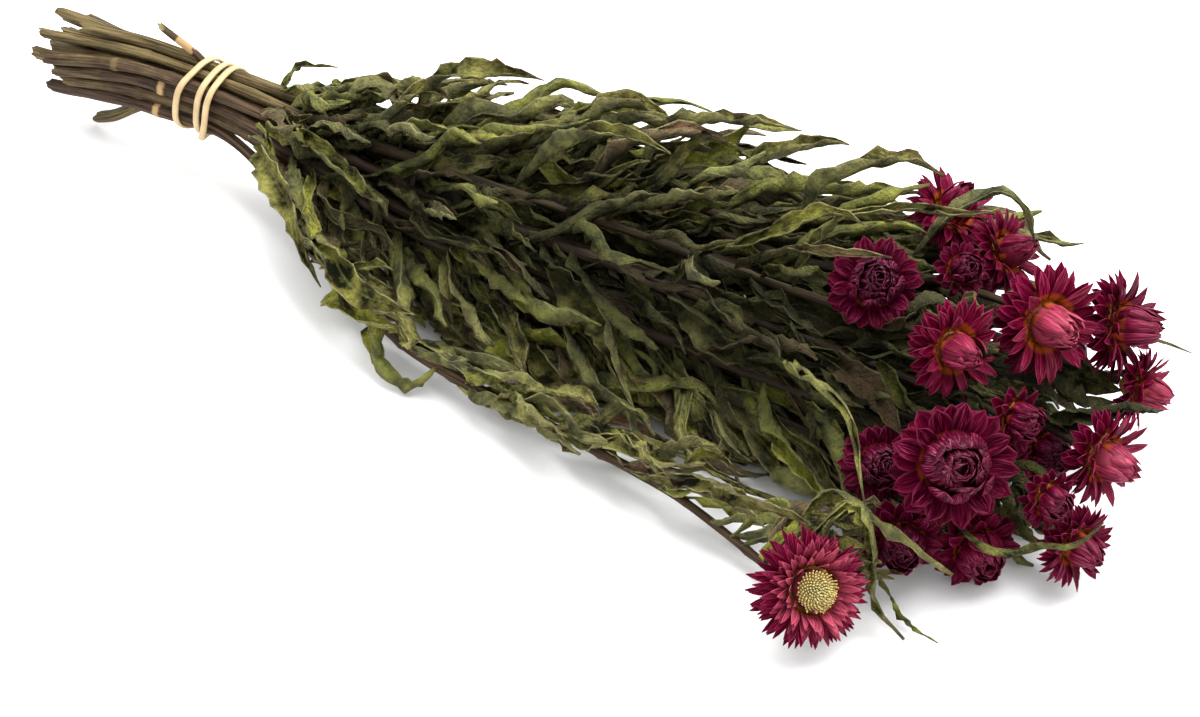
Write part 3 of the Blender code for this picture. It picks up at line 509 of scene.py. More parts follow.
def fine_stem(stem, rng):
    """A ribbed stem with swollen nodes, a torn cut end and a pale pith in it."""
    line = smooth_route(stem["line"], STEM_RING / 2)
    cut = int(np.searchsorted(line[:, 0], CUT_END_FINE_X))
    line = np.concatenate([line[:cut], line[cut::2]])
    line[:, 2] = np.maximum(line[:, 2], LOWEST_LINE)
    along = run_along(line)
    radius = stem_radius(line[:, 0], stem["line"][-1][0], stem["thick"])
    # Swollen nodes, the first of which can be a pale leaf scar
    swell = np.zeros(len(line))
    scar_at = rng.uniform(0.020, 0.075)
    node = scar_at
    while node < along[-1]:
        swell += np.exp(-((along - node) / 0.0019)**2) * rng.uniform(0.08, 0.26)
        node += rng.uniform(0.022, 0.045)
    phase, ribs = rng.uniform(0, 6.28), rng.choice((5, 6, 7))
    bend = [rng.uniform(0, 6.28) for k in range(4)]
    slant, slant_way = rng.uniform(0.2, 1.1), rng.uniform(0, 6.28)
    angles = 2 * math.pi * np.arange(STEM_SIDES) / STEM_SIDES
    fibre = np.array([rng.uniform(-1, 1) for angle in angles])
    rings = []
    for number, centre in enumerate(line):
        tangent = unit(line[min(number + 1, len(line) - 1)] - line[max(number - 1, 0)])
        side, up = ring_frame(tangent)
        run = along[number]
        wander = 0.05 * math.sin(bend[0] + run * 90) + 0.04 * math.sin(bend[1] + run * 210)
        rib = 1 + 0.09 * np.cos(ribs * angles + phase + 6 * run)
        rib += 0.08 * np.sin(2 * angles + bend[2] + 25 * run)
        rib += 0.03 * np.sin(3 * angles + bend[3] + 140 * run)
        reach = radius[number] * rib * (1 + swell[number] + wander)
        out = np.outer(np.cos(angles), side) + np.outer(np.sin(angles), up)
        ring = centre + out * reach[:, None]
        if number < TORN_RINGS:
            torn = slant * np.cos(angles - slant_way) * stem["thick"] + fibre * 0.0017
            ring = ring + np.outer(torn * (1 - number / TORN_RINGS), tangent)
        if number == 0:
            # The pith, sunk into the cut end: how far in from the rim and how deep
            middle = ring.mean(axis=0)
            for share, depth in ((0.10, 0.0014), (0.48, 0.0010), (0.62, 0.0002)):
                rings.append(middle + (ring - middle) * share + tangent * depth)
        rings.append(ring)
    points = np.concatenate(rings)
    sunk = len(rings) - len(line)
    base = 1 - np.clip((line[:, 0] - line[0][0]) / 0.16, 0, 1)
    scar = np.exp(-((along - scar_at) / 0.0016)**2)
    marks = {
        "pith": np.repeat([1.0, 1.0, 0.8] + [0.0] * len(line), STEM_SIDES),
        "node": np.repeat([0.0] * sunk + list(scar), STEM_SIDES),
        "round": np.tile(np.cos(angles), len(rings)),
        "flank": np.tile(np.sin(angles), len(rings)),
        "run": np.repeat([0.0] * sunk + list(along), STEM_SIDES),
        "tint": np.full(len(points), rng.random()),
        "base": np.repeat([1.0] * sunk + list(base), STEM_SIDES),
    }
    faces = tube_faces(len(rings), STEM_SIDES)
    faces.append(tuple(reversed(range(STEM_SIDES))))
    faces.append(tuple(range(len(points) - STEM_SIDES, len(points))))
    points[:, 2] = np.maximum(points[:, 2], 0.0002)
    return points, faces, marks


def depth_in_bunch(points):
    """How deep points lie in the leafy part of the bunch: 0 at its outside, 1 in its middle."""
    x, y, z = points.T
    middle_y, half_y, middle_z, half_z = [np.interp(x, BUNCH[:, 0], BUNCH[:, k]) for k in (1, 2, 3, 4)]
    level = fullness((y - middle_y) / half_y, (z - middle_z) / half_z)
    return np.clip(1 - level, 0, 1) * np.clip((x - LEAFY_FROM_X) / 0.03, 0, 1)


def piece_from(name, parts, finishes):
    """One smooth object from parts, each its points, faces, marks and number of its finish."""
    points = np.concatenate([part[0] for part in parts])
    faces, slots_of, first = [], [], 0
    for part in parts:
        faces += [tuple(corner + first for corner in face) for face in part[1]]
        slots_of += [part[3]] * len(part[1])
        first += len(part[0])
    mesh = bpy.data.meshes.new(name)
    mesh.from_pydata((points + CENTRE_SHIFT).tolist(), [], faces)
    # The deep mark drives the painted shade deep in the bunch, in the stem and leaf finishes.
    marks = {"deep": depth_in_bunch(points)}
    for mark in sorted({mark for part in parts for mark in part[2]}):
        marks[mark] = np.concatenate([part[2].get(mark, np.zeros(len(part[0]))) for part in parts])
    for mark, values in marks.items():
        layer = mesh.attributes.new(mark, "FLOAT", "POINT")
        layer.data.foreach_set("value", values.astype(np.float32))
    for finish in finishes:
        mesh.materials.append(finish)
    mesh.polygons.foreach_set("material_index", slots_of)
    mesh.polygons.foreach_set("use_smooth", [True] * len(faces))
    return placed(name, mesh)


plan_rng = random.Random(SEED)
stems, slots, thick = stem_routes(plan_rng)
spins = [plan_rng.uniform(0, 2 * math.pi) for head in HEADS]
stem_rng = random.Random(SEED + 1)
stem_parts = [[(*fine_stem(stem, stem_rng), 0)] for stem in stems]
shoot = {"line": np.array(SHOOT_LINE), "thick": SHOOT_RADIUS}
shoot_points, shoot_faces, shoot_marks = fine_stem(shoot, stem_rng)
peeled = (shoot_points[:, 0] > PEELED_X[0]) & (shoot_points[:, 0] < PEELED_X[1])
shoot_marks.update({"node": peeled * 1.0, "tint": np.full(len(shoot_points), 0.2)})
stem_parts[SHOOT_STEM].append((shoot_points, shoot_faces, shoot_marks, 0))

stem_finish, nodes, sockets = new_finish("dried_stem")
tint = nodes.mark("tint")
around = nodes.mark("round") * 2.4 + tint * 50
lengthwise = nodes.xyz(around, nodes.mark("flank") * 2.4, nodes.mark("run") * 45)
streak = nodes.noise(lengthwise, 1.0, 4.0, 0.65)
blotch = nodes.noise(nodes.place(), 75.0, 4.0, 0.6)
brown = nodes.mix(streak.above(0.5, 0.25), (0.011, 0.006, 0.004), (0.080, 0.048, 0.026))
olive = nodes.mix(streak.above(0.5, 0.25), (0.026, 0.018, 0.008), (0.165, 0.122, 0.052))
body = nodes.mix((tint * 0.9 + blotch * 1.4 + nodes.mark("base") * 0.30).above(1.42, 0.45), brown, olive)
scar = nodes.mark("node").above(0.45, 0.5) * (1 - tint.above(0.40, 0.1))
body = nodes.mix(scar, body, (0.34, 0.22, 0.10))
body = nodes.mix(nodes.mark("pith"), body, (0.36, 0.28, 0.12))
# Painted shade: stems deep in the leafy part of the bunch are darkened towards black.
body = nodes.mix(nodes.mark("deep").above(0.55, 0.7) * 0.80, body, (0.012, 0.008, 0.005))
feed(sockets["Base Color"], body)
sockets["Specular IOR Level"].default_value = 0.12
feed(sockets["Roughness"], streak * 0.25 + 0.50)
feed_bump(sockets["Normal"], streak + blotch * 0.5, 0.8, 0.0008)


# Leaves
# Narrow dried leaves grow off every stem and hang along the bunch, folded on their pale
# midribs, twisted, with rolled and crinkled edges. The ones that the solid stems carry are
# drawn again until they match, and thinner ones fill the gaps between them.
LEAF_LENGTH = (0.055, 0.100)
LEAF_WIDTH = (0.009, 0.015)
LEAVES_PER_STEM = 8
LEAF_FIRST_X = -0.150
LEAF_LAST_BACK = 0.030
LEAF_ROOT = 0.45
LEAF_STEPS = 12
LEAF_LOWEST = 0.0018
LEAF_TRIES = 36
SHOWN_TRIES = 60
# Stations of a solid blade: the step of its route and its part of the full width
LEAF_STATIONS = ((0, 0.0), (2, 0.50), (5, 1.0), (9, 0.72))
SAME_PLACE = 0.0002
# Leaves that stand out: width of the solid, part of it that the dried leaf has, tint, then
# places from near the stem to the tip
SHOWN_LEAVES = (
    (0.010, 0.60, 0.50, (0.155, 0.064, 0.084), (0.169, 0.073, 0.092), (0.178, 0.075, 0.086),
     (0.182, 0.075, 0.070)),
    (0.007, 0.80, 0.50, (0.123, 0.032, 0.088), (0.142, 0.039, 0.094), (0.160, 0.045, 0.096),
     (0.170, 0.058, 0.093)),
    (0.012, 0.50, 0.75, (0.184, -0.067, 0.050), (0.195, -0.071, 0.030), (0.198, -0.074, 0.014),
     (0.210, -0.076, 0.004)),
    (0.013, 1.00, 0.50, (0.231, 0.021, 0.049), (0.242, 0.029, 0.052), (0.253, 0.041, 0.046)),
    (0.011, 0.55, 0.55, (0.170, -0.057, 0.042), (0.192, -0.060, 0.040), (0.222, -0.066, 0.034)),
    (0.015, 0.80, 0.58, (-0.124, -0.004, 0.046), (-0.104, -0.020, 0.044), (-0.086, -0.033, 0.034),
     (-0.074, -0.036, 0.018)),
    (0.016, 1.00, 0.66, (-0.074, -0.034, 0.038), (-0.048, -0.046, 0.034), (-0.018, -0.050, 0.037)),
    (0.014, 1.00, 0.88, (-0.040, -0.044, 0.022), (-0.034, -0.052, 0.010), (-0.020, -0.054, 0.006),
     (-0.010, -0.046, 0.013)),
    (0.010, 1.00, 0.50, (0.035, 0.058, 0.082), (0.060, 0.063, 0.089), (0.082, 0.066, 0.092)),
    (0.009, 1.00, 0.50, (0.106, 0.050, 0.085), (0.118, 0.064, 0.091), (0.129, 0.072, 0.091),
     (0.141, 0.076, 0.086)),
    (0.012, 1.00, 0.50, (-0.064, 0.041, 0.078), (-0.046, 0.048, 0.083), (-0.024, 0.052, 0.084)),
    (0.015, 0.75, 0.80, (0.150, -0.046, 0.079), (0.172, -0.056, 0.075), (0.181, -0.064, 0.068),
     (0.189, -0.071, 0.056)),
)
# Loose thin leaves: stem, where on it, width, tint, then places out to the tip
LOOSE_LEAVES = (
    (12, 0.196, 0.0065, 0.60, (0.222, -0.047, 0.034), (0.238, -0.048, 0.040), (0.252, -0.040, 0.041),
     (0.260, -0.026, 0.046)),
    (13, 0.168, 0.0032, 0.80, (0.184, -0.058, 0.018), (0.196, -0.062, 0.010), (0.208, -0.068, 0.006),
     (0.221, -0.072, 0.004)),
    (4, -0.142, 0.0030, 0.70, (-0.1374, 0.0293, 0.0531), (-0.1376, 0.0354, 0.0564),
     (-0.1341, 0.0400, 0.0587), (-0.1227, 0.0465, 0.0581)),
    # The last four are dark leaves put as painted shade in the gap among heads 5 to 7.
    (6, 0.184, 0.0170, 0.55, (0.1990, 0.0530, 0.0335), (0.2100, 0.0465, 0.0315),
     (0.2210, 0.0465, 0.0315), (0.2310, 0.0525, 0.0315)),
    (6, 0.186, 0.0150, 0.55, (0.1990, 0.0575, 0.0345), (0.2090, 0.0540, 0.0335),
     (0.2190, 0.0545, 0.0335), (0.2300, 0.0590, 0.0325)),
    (5, 0.180, 0.0140, 0.60, (0.1960, 0.0640, 0.0430), (0.2060, 0.0640, 0.0400),
     (0.2150, 0.0600, 0.0390), (0.2240, 0.0535, 0.0380)),
    (6, 0.176, 0.0120, 0.50, (0.1910, 0.0560, 0.0300), (0.2030, 0.0560, 0.0270),
     (0.2140, 0.0600, 0.0270), (0.2240, 0.0680, 0.0280)),
)
FILL_LEAVES = 46
FILL_LENGTH = (0.026, 0.085)
FILL_REACH_X = 0.205
NECK_LEAVES = 14
NECK_LEAF_BACK = (0.003, 0.032)
# A leaf that hangs before the middle of a head is rolled up thin, or left out if it only fills
HEAD_FACE = 0.36
THIN_ROLL = 0.40
# Rows and columns of points of a blade, how far its route wanders, and its thickness
LEAF_GRID = (24, 9)
FILL_GRID = (17, 7)
LEAF_WANDER = 0.0008
FILL_WANDER = 0.0024
LOOSE_WANDER = 0.0012
LEAF_SHEET = 0.00042
FRILL = (0.0004, 0.0014)
CRUMPLE = 0.00034
RIB_GROOVE = 0.0006
# The outline of a blade: part of its length, part of its half width
OUTLINE = ((0.0, 0.0), (0.08, 0.27), (0.167, 0.50), (0.30, 0.86), (0.417, 1.0), (0.58, 0.94),
           (0.75, 0.72), (0.90, 0.36), (0.97, 0.13), (1.0, 0.02))


def leaf_route(root, tangent, outward, leaf):
    """A leaf's middle line: off its stem, then along the bunch, waved and kept inside it."""
    points = [np.array(root)]
    heading = unit(tangent * math.cos(leaf["angle"]) + outward * math.sin(leaf["angle"]))
    sideways = unit(np.cross(tangent, outward))
    step = leaf["length"] / LEAF_STEPS
    for number in range(LEAF_STEPS):
        along = number / LEAF_STEPS
        flow = flow_at(points[-1])
        sway = leaf["sway"] * math.sin(leaf["phase"] + 5.0 * along)
        lift = leaf["curl"] * math.cos(leaf["phase"] * 1.7 + 4.0 * along)
        across, up = place_in_bunch(points[-1])
        room = max(leaf["level"] - fullness(across, up), 0)
        outside = np.array((0.0, across, up)) * room * 0.35
        heading = heading * 0.78 + flow * 0.22 + sideways * sway * 0.2 + outward * lift * 0.2
        heading = unit(heading + outside)
        following = points[-1] + heading * step
        across, up = place_in_bunch(following)
        over = fullness(across, up) - leaf["level"]
        if over > 0:
            middle_y, half_y, middle_z, half_z = bunch_at(following[0])
            away = np.array((0, across / half_y, up / half_z))
            following -= unit(away) * min(over, 0.6) * 0.010
            heading = unit(following - points[-1])
        following[2] = max(following[2], LEAF_LOWEST)
        points.append(following)
    return np.array(points)


def leaf_frames(points, leaf, outward):
    """Across and up directions along a leaf, turning by its twist."""
    tangents = np.gradient(points, axis=0)
    frames = []
    for number, tangent in enumerate(tangents):
        up, side = ring_frame(unit(tangent), outward)
        turn = leaf["roll"] + leaf["twist"] * number / (len(points) - 1)
        frames.append((side * math.cos(turn) + up * math.sin(turn),
                       up * math.cos(turn) - side * math.sin(turn)))
    return frames


def draw_leaf(rng, shorter):
    """The sizes and bends of one leaf."""
    return {
        "length": rng.uniform(*LEAF_LENGTH) * shorter,
        "width": rng.uniform(*LEAF_WIDTH) * (0.5 + 0.5 * shorter),
        "angle": math.radians(rng.uniform(30, 62)),
        "sway": rng.uniform(-1.0, 1.0),
        "curl": rng.uniform(-0.7, 1.0),
        "phase": rng.uniform(0, 6.28),
        "roll": math.radians(rng.uniform(-50, 50)),
        "twist": math.radians(rng.uniform(-150, 150)),
        "wave": rng.uniform(0.0006, 0.0022),
        "fold": rng.uniform(0.0006, 0.0030),
        "level": rng.uniform(0.75, 1.12),
    }


def root_half(stem, root_x):
    """Half the width of a leaf where it leaves its stem."""
    return stem_radius(root_x, stem["line"][-1][0], stem["thick"]) * LEAF_ROOT


def leaf_from(stem, root_x, outward, leaf):
    """A leaf that grows from a stem by itself, with its route, frames and root width."""
    points = leaf_route(stem_point(stem, root_x), stem_tangent(stem, root_x), outward, leaf)
    return leaf, points, leaf_frames(points, leaf, outward), root_half(stem, root_x)


def drawn_leaf(stem, index, rank, attempt):
    """One draw of one leaf. The same numbers always give the same leaf."""
    rng = random.Random(SEED * 1000003 + index * 10007 + rank * 101 + attempt)
    last_x = stem["line"][-1][0] - LEAF_LAST_BACK
    along = (rank + rng.uniform(0.1, 0.9)) / LEAVES_PER_STEM
    root_x = LEAF_FIRST_X + (last_x - LEAF_FIRST_X) * along
    tangent = stem_tangent(stem, root_x)
    across, up = place_in_bunch(stem_point(stem, root_x))
    outside = np.array((0.0, across + 1e-3, up))
    outside = unit(outside - tangent * np.dot(outside, tangent))
    spin = math.radians(rng.uniform(-1, 1) * (60 + 3.5 * attempt))
    outward = np.array(Matrix.Rotation(spin, 3, Vector(tangent)) @ Vector(outside))
    return leaf_from(stem, root_x, outward, draw_leaf(rng, 1 - 0.012 * attempt))


def stems_near(first):
    """Places on the stems that a leaf could grow from to reach its first point."""
    places = []
    for index, stem in enumerate(stems):
        for root_x in np.arange(first[0] - 0.034, first[0] - 0.012, 0.004):
            if LEAF_FIRST_X < root_x < stem["line"][-1][0] - 0.012:
                distance = float(np.linalg.norm(stem_point(stem, root_x) - first))
                places.append((distance, index, float(root_x)))
    return sorted(places)


def shown_leaf(rank, attempt):
    """One try at a leaf that stands out, from one of the nearest stems behind it."""
    rng = random.Random(SEED * 7919 + rank * 101 + attempt)
    width, route = SHOWN_LEAVES[rank][0], SHOWN_LEAVES[rank][3:]
    places = stems_near(np.array(route[0]))
    index, root_x = places[min(attempt // 4, len(places) - 1)][1:]
    moved = [stem_point(stems[index], root_x)]
    for spot in route:
        jitter = np.array([rng.uniform(-1, 1) for k in range(3)]) * 0.00015 * attempt
        moved.append(np.array(spot) + jitter)
    points = smooth_route(moved, 0.002)
    points = points[np.linspace(0, len(points) - 1, LEAF_STEPS + 1).astype(int)]
    leaf = draw_leaf(rng, 1.0)
    leaf["width"] = width * (1 - 0.006 * attempt)
    leaf["twist"] *= 0.5
    across, up = place_in_bunch(points[LEAF_STEPS // 2])
    frames = leaf_frames(points, leaf, unit(np.array((0.05, across, up + 0.3))))
    return index, (leaf, points, frames, root_half(stems[index], root_x))


def is_solid_leaf(tree, leaf, points, frames, half):
    """Whether the solid of a stem has this leaf, by the corners of its blade."""
    corners = [points[-1]]
    for order, (number, share) in enumerate(LEAF_STATIONS[1:]):
        side, up = frames[number]
        wave = leaf["wave"] * (-1)**order
        for way in (-1, 1):
            out = side * way * leaf["width"] / 2 * share
            corners.append(points[number] + out + up * (leaf["fold"] - way * wave))
    return all(tree.find_nearest(Vector(corner + CENTRE_SHIFT), SAME_PLACE)[0] for corner in corners)


def hides_head(points):
    """Whether a leaf hangs over the face of a head, on the side from which the bunch is seen."""
    for centre, facing, size, form in HEADS:
        away = np.asarray(points) - np.array(centre)
        nearer = away @ np.array(back)
        aside = np.linalg.norm(away - nearer[:, None] * np.array(back), axis=1)
        if ((nearer > 0) & (aside < size * HEAD_FACE)).any():
            return True
    return False


def solid_leaves(stem_trees):
    """Every leaf of the solid stems, found by drawing it again as the solids were drawn."""
    found = [[] for stem in stems]
    for rank, shown in enumerate(SHOWN_LEAVES):
        for attempt in range(SHOWN_TRIES):
            index, drawn = shown_leaf(rank, attempt)
            if is_solid_leaf(stem_trees[index], *drawn):
                drawn[0]["width"] *= shown[1]
                drawn[0]["tint"] = shown[2]
                found[index].append(drawn)
                break
    for rank in range(LEAVES_PER_STEM):
        for index, stem in enumerate(stems):
            for attempt in range(LEAF_TRIES):
                drawn = drawn_leaf(stem, index, rank, attempt)
                if is_solid_leaf(stem_trees[index], *drawn):
                    drawn[0]["width"] *= THIN_ROLL if hides_head(drawn[1]) else 1.0
                    found[index].append(drawn)
                    break
    return found


def filling_leaf(stem, neck, rng):
    """A leaf of a stem that only fills the bunch, or a small one of its neck."""
    last_x = stem["line"][-1][0] - LEAF_LAST_BACK * 0.4
    root_x = rng.uniform(LEAF_FIRST_X + 0.004, last_x)
    if neck:
        root_x = stem["line"][-1][0] - rng.uniform(*NECK_LEAF_BACK)
    tangent = stem_tangent(stem, root_x)
    outside = unit(np.array([rng.gauss(0, 1) for k in range(3)]))
    outward = unit(outside - tangent * np.dot(outside, tangent))
    leaf = draw_leaf(rng, 1.0)
    near_tie = np.interp(root_x, (LEAF_FIRST_X, -0.100), (0.45, 1.0))
    leaf["length"] = min(rng.uniform(*FILL_LENGTH) * near_tie, max(FILL_REACH_X - root_x, 0.020))
    leaf["width"] = 0.0025 + leaf["length"] * rng.uniform(0.06, 0.14)
    leaf["angle"] *= near_tie
    leaf["level"] *= 0.94 * near_tie**0.5
    leaf["twist"] *= 1.8
    leaf["sway"] *= 1.6
    return leaf_from(stem, root_x, outward, leaf)


def through(points, count):
    """A number of points on a smooth curve through all the given ones."""
    knots = np.arange(float(len(points)))
    return curve_at(np.array(points), knots, np.linspace(0, knots[-1], count))


def loose_leaf(stem, root_x, width, leaf_tint, route, rng):
    """A thin leaf from a stem along given points."""
    points = through([stem_point(stem, root_x), *route], LEAF_STEPS + 1)
    leaf = draw_leaf(rng, 1.0)
    leaf.update({"width": width, "tint": leaf_tint, "fold": 0.0004, "wave": 0.0005})
    leaf["length"] = run_along(points)[-1]
    return leaf, points, leaf_frames(points, leaf, np.array((0.1, 0.0, 1.0))), 0.0006


def sheet_faces(rows, columns):
    """Faces of two sheets of points, one over the other, closed round their edges."""
    faces, count = [], rows * columns
    for row in range(rows - 1):
        for column in range(columns - 1):
            a = row * columns + column
            b = a + columns
            faces.append((a, a + 1, b + 1, b))
            faces.append((count + a, count + b, count + b + 1, count + a + 1))
    ring = list(range(columns)) + [row * columns + columns - 1 for row in range(1, rows)]
    ring += [(rows - 1) * columns + column for column in range(columns - 2, -1, -1)]
    ring += [row * columns for row in range(rows - 2, 0, -1)]
    for a, b in zip(ring, ring[1:] + ring[:1]):
        faces.append((b, a, count + a, count + b))
    return faces


def rolls_of(rng, t):
    """How far the left and right halves of a blade roll, along its length."""
    style = rng.random()
    if style < 0.68:
        base = rng.uniform(1.2, 3.0)
    elif style < 0.86:
        base = -rng.uniform(0.9, 2.3)
    else:
        base = rng.uniform(-0.5, 0.7)
    halves = []
    for half in range(2):
        swing = np.sin(rng.uniform(0, 6.28) + rng.uniform(3, 9) * t)
        roll = base * (1 + 0.55 * swing) + rng.uniform(-0.5, 0.5)
        halves.append(np.where(np.abs(roll) < 0.05, 0.05, roll))
    return halves


def dried_leaf(leaf, points, frames, root_width, grid, wander, rng):
    """A thin crumpled blade on the route of a leaf."""
    rows, columns = grid
    t = np.linspace(0, 1, rows)[:, None]
    u = np.linspace(-1, 1, columns)[None]
    long = leaf["length"] / 0.075
    phase = [rng.uniform(0, 6.28) for k in range(16)]
    centre = through(points, rows)
    side = through([frame[0] for frame in frames], rows)
    up = through([frame[1] for frame in frames], rows)
    free = np.sin(math.pi * np.clip(t * 0.8, 0, 1)) * wander
    centre = centre + side * free * np.sin(phase[8] + 11 * long * t)
    centre = centre + up * free * np.sin(phase[9] + 9 * long * t)
    half = np.interp(t, *zip(*OUTLINE)) * leaf["width"] / 2
    half = np.maximum(half, root_width * np.clip(1 - t / 0.12, 0, 1))
    half = half * (1 + 0.08 * np.sin(phase[0] + 19 * t) + 0.06 * np.sin(phase[1] + 41 * t))
    left, right = rolls_of(rng, t)
    roll = np.where(u < 0, left, right)
    across = np.sin(roll * u) / roll
    lift = (1 - np.cos(roll * u)) / roll
    wave = np.interp(t, (0, 0.167, 0.417, 0.75, 1), (0, 1, -1, 1, 0)) * leaf["wave"]
    rise = half * lift + leaf["fold"] * np.abs(u) * np.minimum(t / 0.12, 1) * (1 - 0.6 * t) - wave * u
    # Pleats along the side veins that run out to a frilled edge
    middle = np.minimum(1, 6 * t) * np.minimum(1, 8 * (1 - t))
    frill = rng.uniform(*FRILL) * np.abs(u)**1.5 * middle
    pull = 1.9 * np.abs(u)
    pleats = []
    for wide, narrow, turns in ((3, 4, 83), (5, 6, 77)):
        pleat = np.sin(phase[wide] + rng.uniform(30, 58) * long * t - pull)
        pleats.append(pleat + 0.5 * np.sin(phase[narrow] + turns * long * t - pull))
    left, right = pleats
    rise = rise + frill * np.where(u < 0, left, right)
    across = across + 0.10 * np.abs(u) * middle * np.where(u < 0, right, left)
    crumple = sum(np.sin(phase[10 + k] + turn * long * t + lean * u) for k, (turn, lean) in
                  enumerate(((31, 2.1), (47, -3.3), (66, 4.2), (23, -5.1))))
    rise = rise + CRUMPLE * crumple * middle
    rise = rise - RIB_GROOVE * np.exp(-(u / 0.16)**2) * np.minimum(half / 0.004, 1)
    blade = centre[:, None] + side[:, None] * (half * across)[..., None] + up[:, None] * rise[..., None]
    over = np.cross(np.gradient(blade, axis=0), np.gradient(blade, axis=1))
    over = -over / (np.linalg.norm(over, axis=-1, keepdims=True) + 1e-12)
    sheet = LEAF_SHEET * (1 + 1.2 * np.exp(-(u / 0.14)**2) * (1 - 0.7 * t))
    made = np.concatenate([(blade + over * sign * sheet[..., None] / 2).reshape(-1, 3) for sign in (1, -1)])
    made[:, 2] = np.maximum(made[:, 2], 0.0003)
    marks = {
        "across": np.tile(np.broadcast_to(u, grid).reshape(-1), 2),
        "along": np.tile(np.broadcast_to(t, grid).reshape(-1), 2),
        "tint": np.full(rows * columns * 2, leaf.get("tint", rng.random())),
        "under": np.repeat((0.0, 1.0), rows * columns),
    }
    return made, sheet_faces(rows, columns), marks, 1


stem_trees = []
for index in range(len(stems)):
    solid = frame["nodes"][f"leafy_stem_{index + 1:02d}"].data
    stem_trees.append(BVHTree.FromPolygons([tuple(point.co) for point in solid.vertices],
                                           [tuple(face.vertices) for face in solid.polygons]))
leaf_rng = random.Random(SEED + 2)
leaf_parts = solid_leaves(stem_trees)
fill_parts = []
for stem in stems:
    drawn = [filling_leaf(stem, k >= FILL_LEAVES, leaf_rng) for k in range(FILL_LEAVES + NECK_LEAVES)]
    fill_parts.append([leaf for leaf in drawn if not hides_head(leaf[1])])
loose_rng = random.Random(SEED + 3)
loose_parts = [[] for stem in stems]
for index, root_x, width, leaf_tint, *route in LOOSE_LEAVES:
    loose_parts[index].append(loose_leaf(stems[index], root_x, width, leaf_tint, route, loose_rng))

leaf_finish, nodes, sockets = new_finish("dried_leaf")
place = nodes.place()
across, along, tint, under = [nodes.mark(name) for name in ("across", "along", "tint", "under")]
off_rib = abs(across)
patches = nodes.noise(place, 95.0, 5.0, 0.62)
fine = nodes.noise(place, 900.0, 4.0, 0.6)
green = nodes.mix(patches.above(0.5, 0.24), (0.009, 0.011, 0.003), (0.360, 0.340, 0.098))
yellow = nodes.mix(patches.above(0.5, 0.3), (0.048, 0.060, 0.008), (0.540, 0.545, 0.082))
brown = nodes.mix(patches.above(0.5, 0.3), (0.016, 0.008, 0.007), (0.290, 0.175, 0.100))
blade = nodes.mix((tint + patches * 0.6).above(1.02, 0.3), green, yellow)
blade = nodes.mix((1 - tint + patches * 0.35).above(1.02, 0.12), blade, brown)
blade = nodes.mix((1 - tint + fine * 0.1).above(1.02, 0.03), blade, (0.24, 0.13, 0.040))
scorched = (off_rib * 0.45 + along * 0.4 + fine * 0.6).above(0.95, 0.3)
blade = nodes.mix(scorched * 0.8, blade, (0.090, 0.053, 0.020))
blade = nodes.mix(under * 0.35, blade, (0.175, 0.180, 0.095))
blade = nodes.mix((1 - off_rib).above(0.94, 0.07) * (0.25 + under * 0.45), blade, (0.44, 0.42, 0.19))
# Pale margins in patches: partly the leaves' own pale edges, partly a painted highlight along the rolled
# edges.
blade = nodes.mix(off_rib.above(0.93, 0.10) * patches.above(0.5, 0.2) * 0.6, blade, (0.47, 0.45, 0.20))
# Painted shade: leaves deep in the bunch are darkened towards black.
blade = nodes.mix(nodes.mark("deep").above(0.66, 0.6) * 0.84, blade, (0.008, 0.008, 0.003))
feed(sockets["Base Color"], blade)
sockets["Specular IOR Level"].default_value = 0.10
feed(sockets["Roughness"], fine * 0.25 + 0.52)
veins = ((along * 15 - off_rib * 2.2) * 6.283).sin()
folds = abs(nodes.noise(place, 330.0, 5.0, 0.65) - 0.5)
feed_bump(sockets["Normal"], veins * 0.25 + fine + patches - folds * 7.0, 1.0, 0.0012)

for index, parts in enumerate(stem_parts):
    parts += [dried_leaf(*drawn, LEAF_GRID, LEAF_WANDER, leaf_rng) for drawn in leaf_parts[index]]
    parts += [dried_leaf(*drawn, FILL_GRID, FILL_WANDER, leaf_rng) for drawn in fill_parts[index]]
    parts += [dried_leaf(*drawn, FILL_GRID, LOOSE_WANDER, loose_rng) for drawn in loose_parts[index]]
    piece = piece_from(f"stem_with_leaves_{index + 1:02d}", parts, (stem_finish, leaf_finish))
    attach(piece, "root")
    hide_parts(f"leafy_stem_{index + 1:02d}")


# Flower heads
# Each head is a cone of stiff papery bracts that overlap in a spiral, orange at the foot:
# an outer ring that spreads and a bud of inner ones that closes over the middle. The whole
# head sits on the neck of its stem.
HEAD_SIZES = {
    "Bracts": "Int", "Ring share": "Float", "Lowest angle": "Float", "Ring angle": "Float",
    "Bud angle": "Float", "Top angle": "Float", "Ring curl": "Float", "Bud curl": "Float",
    "Low length": "Float", "Ring length": "Float", "Bud length": "Float", "Top length": "Float",
    "Ring width": "Float", "Bud width": "Float", "Ring seat": "Float", "Bud seat": "Float",
    "Ring height": "Float", "Bud height": "Float", "Top height": "Float", "Cup": "Float",
    "Point": "Float", "Uneven": "Float", "Bract sheet": "Float", "Core radius": "Float",
    "Core height": "Float", "Seed": "Int", "Finish": "Material",
}
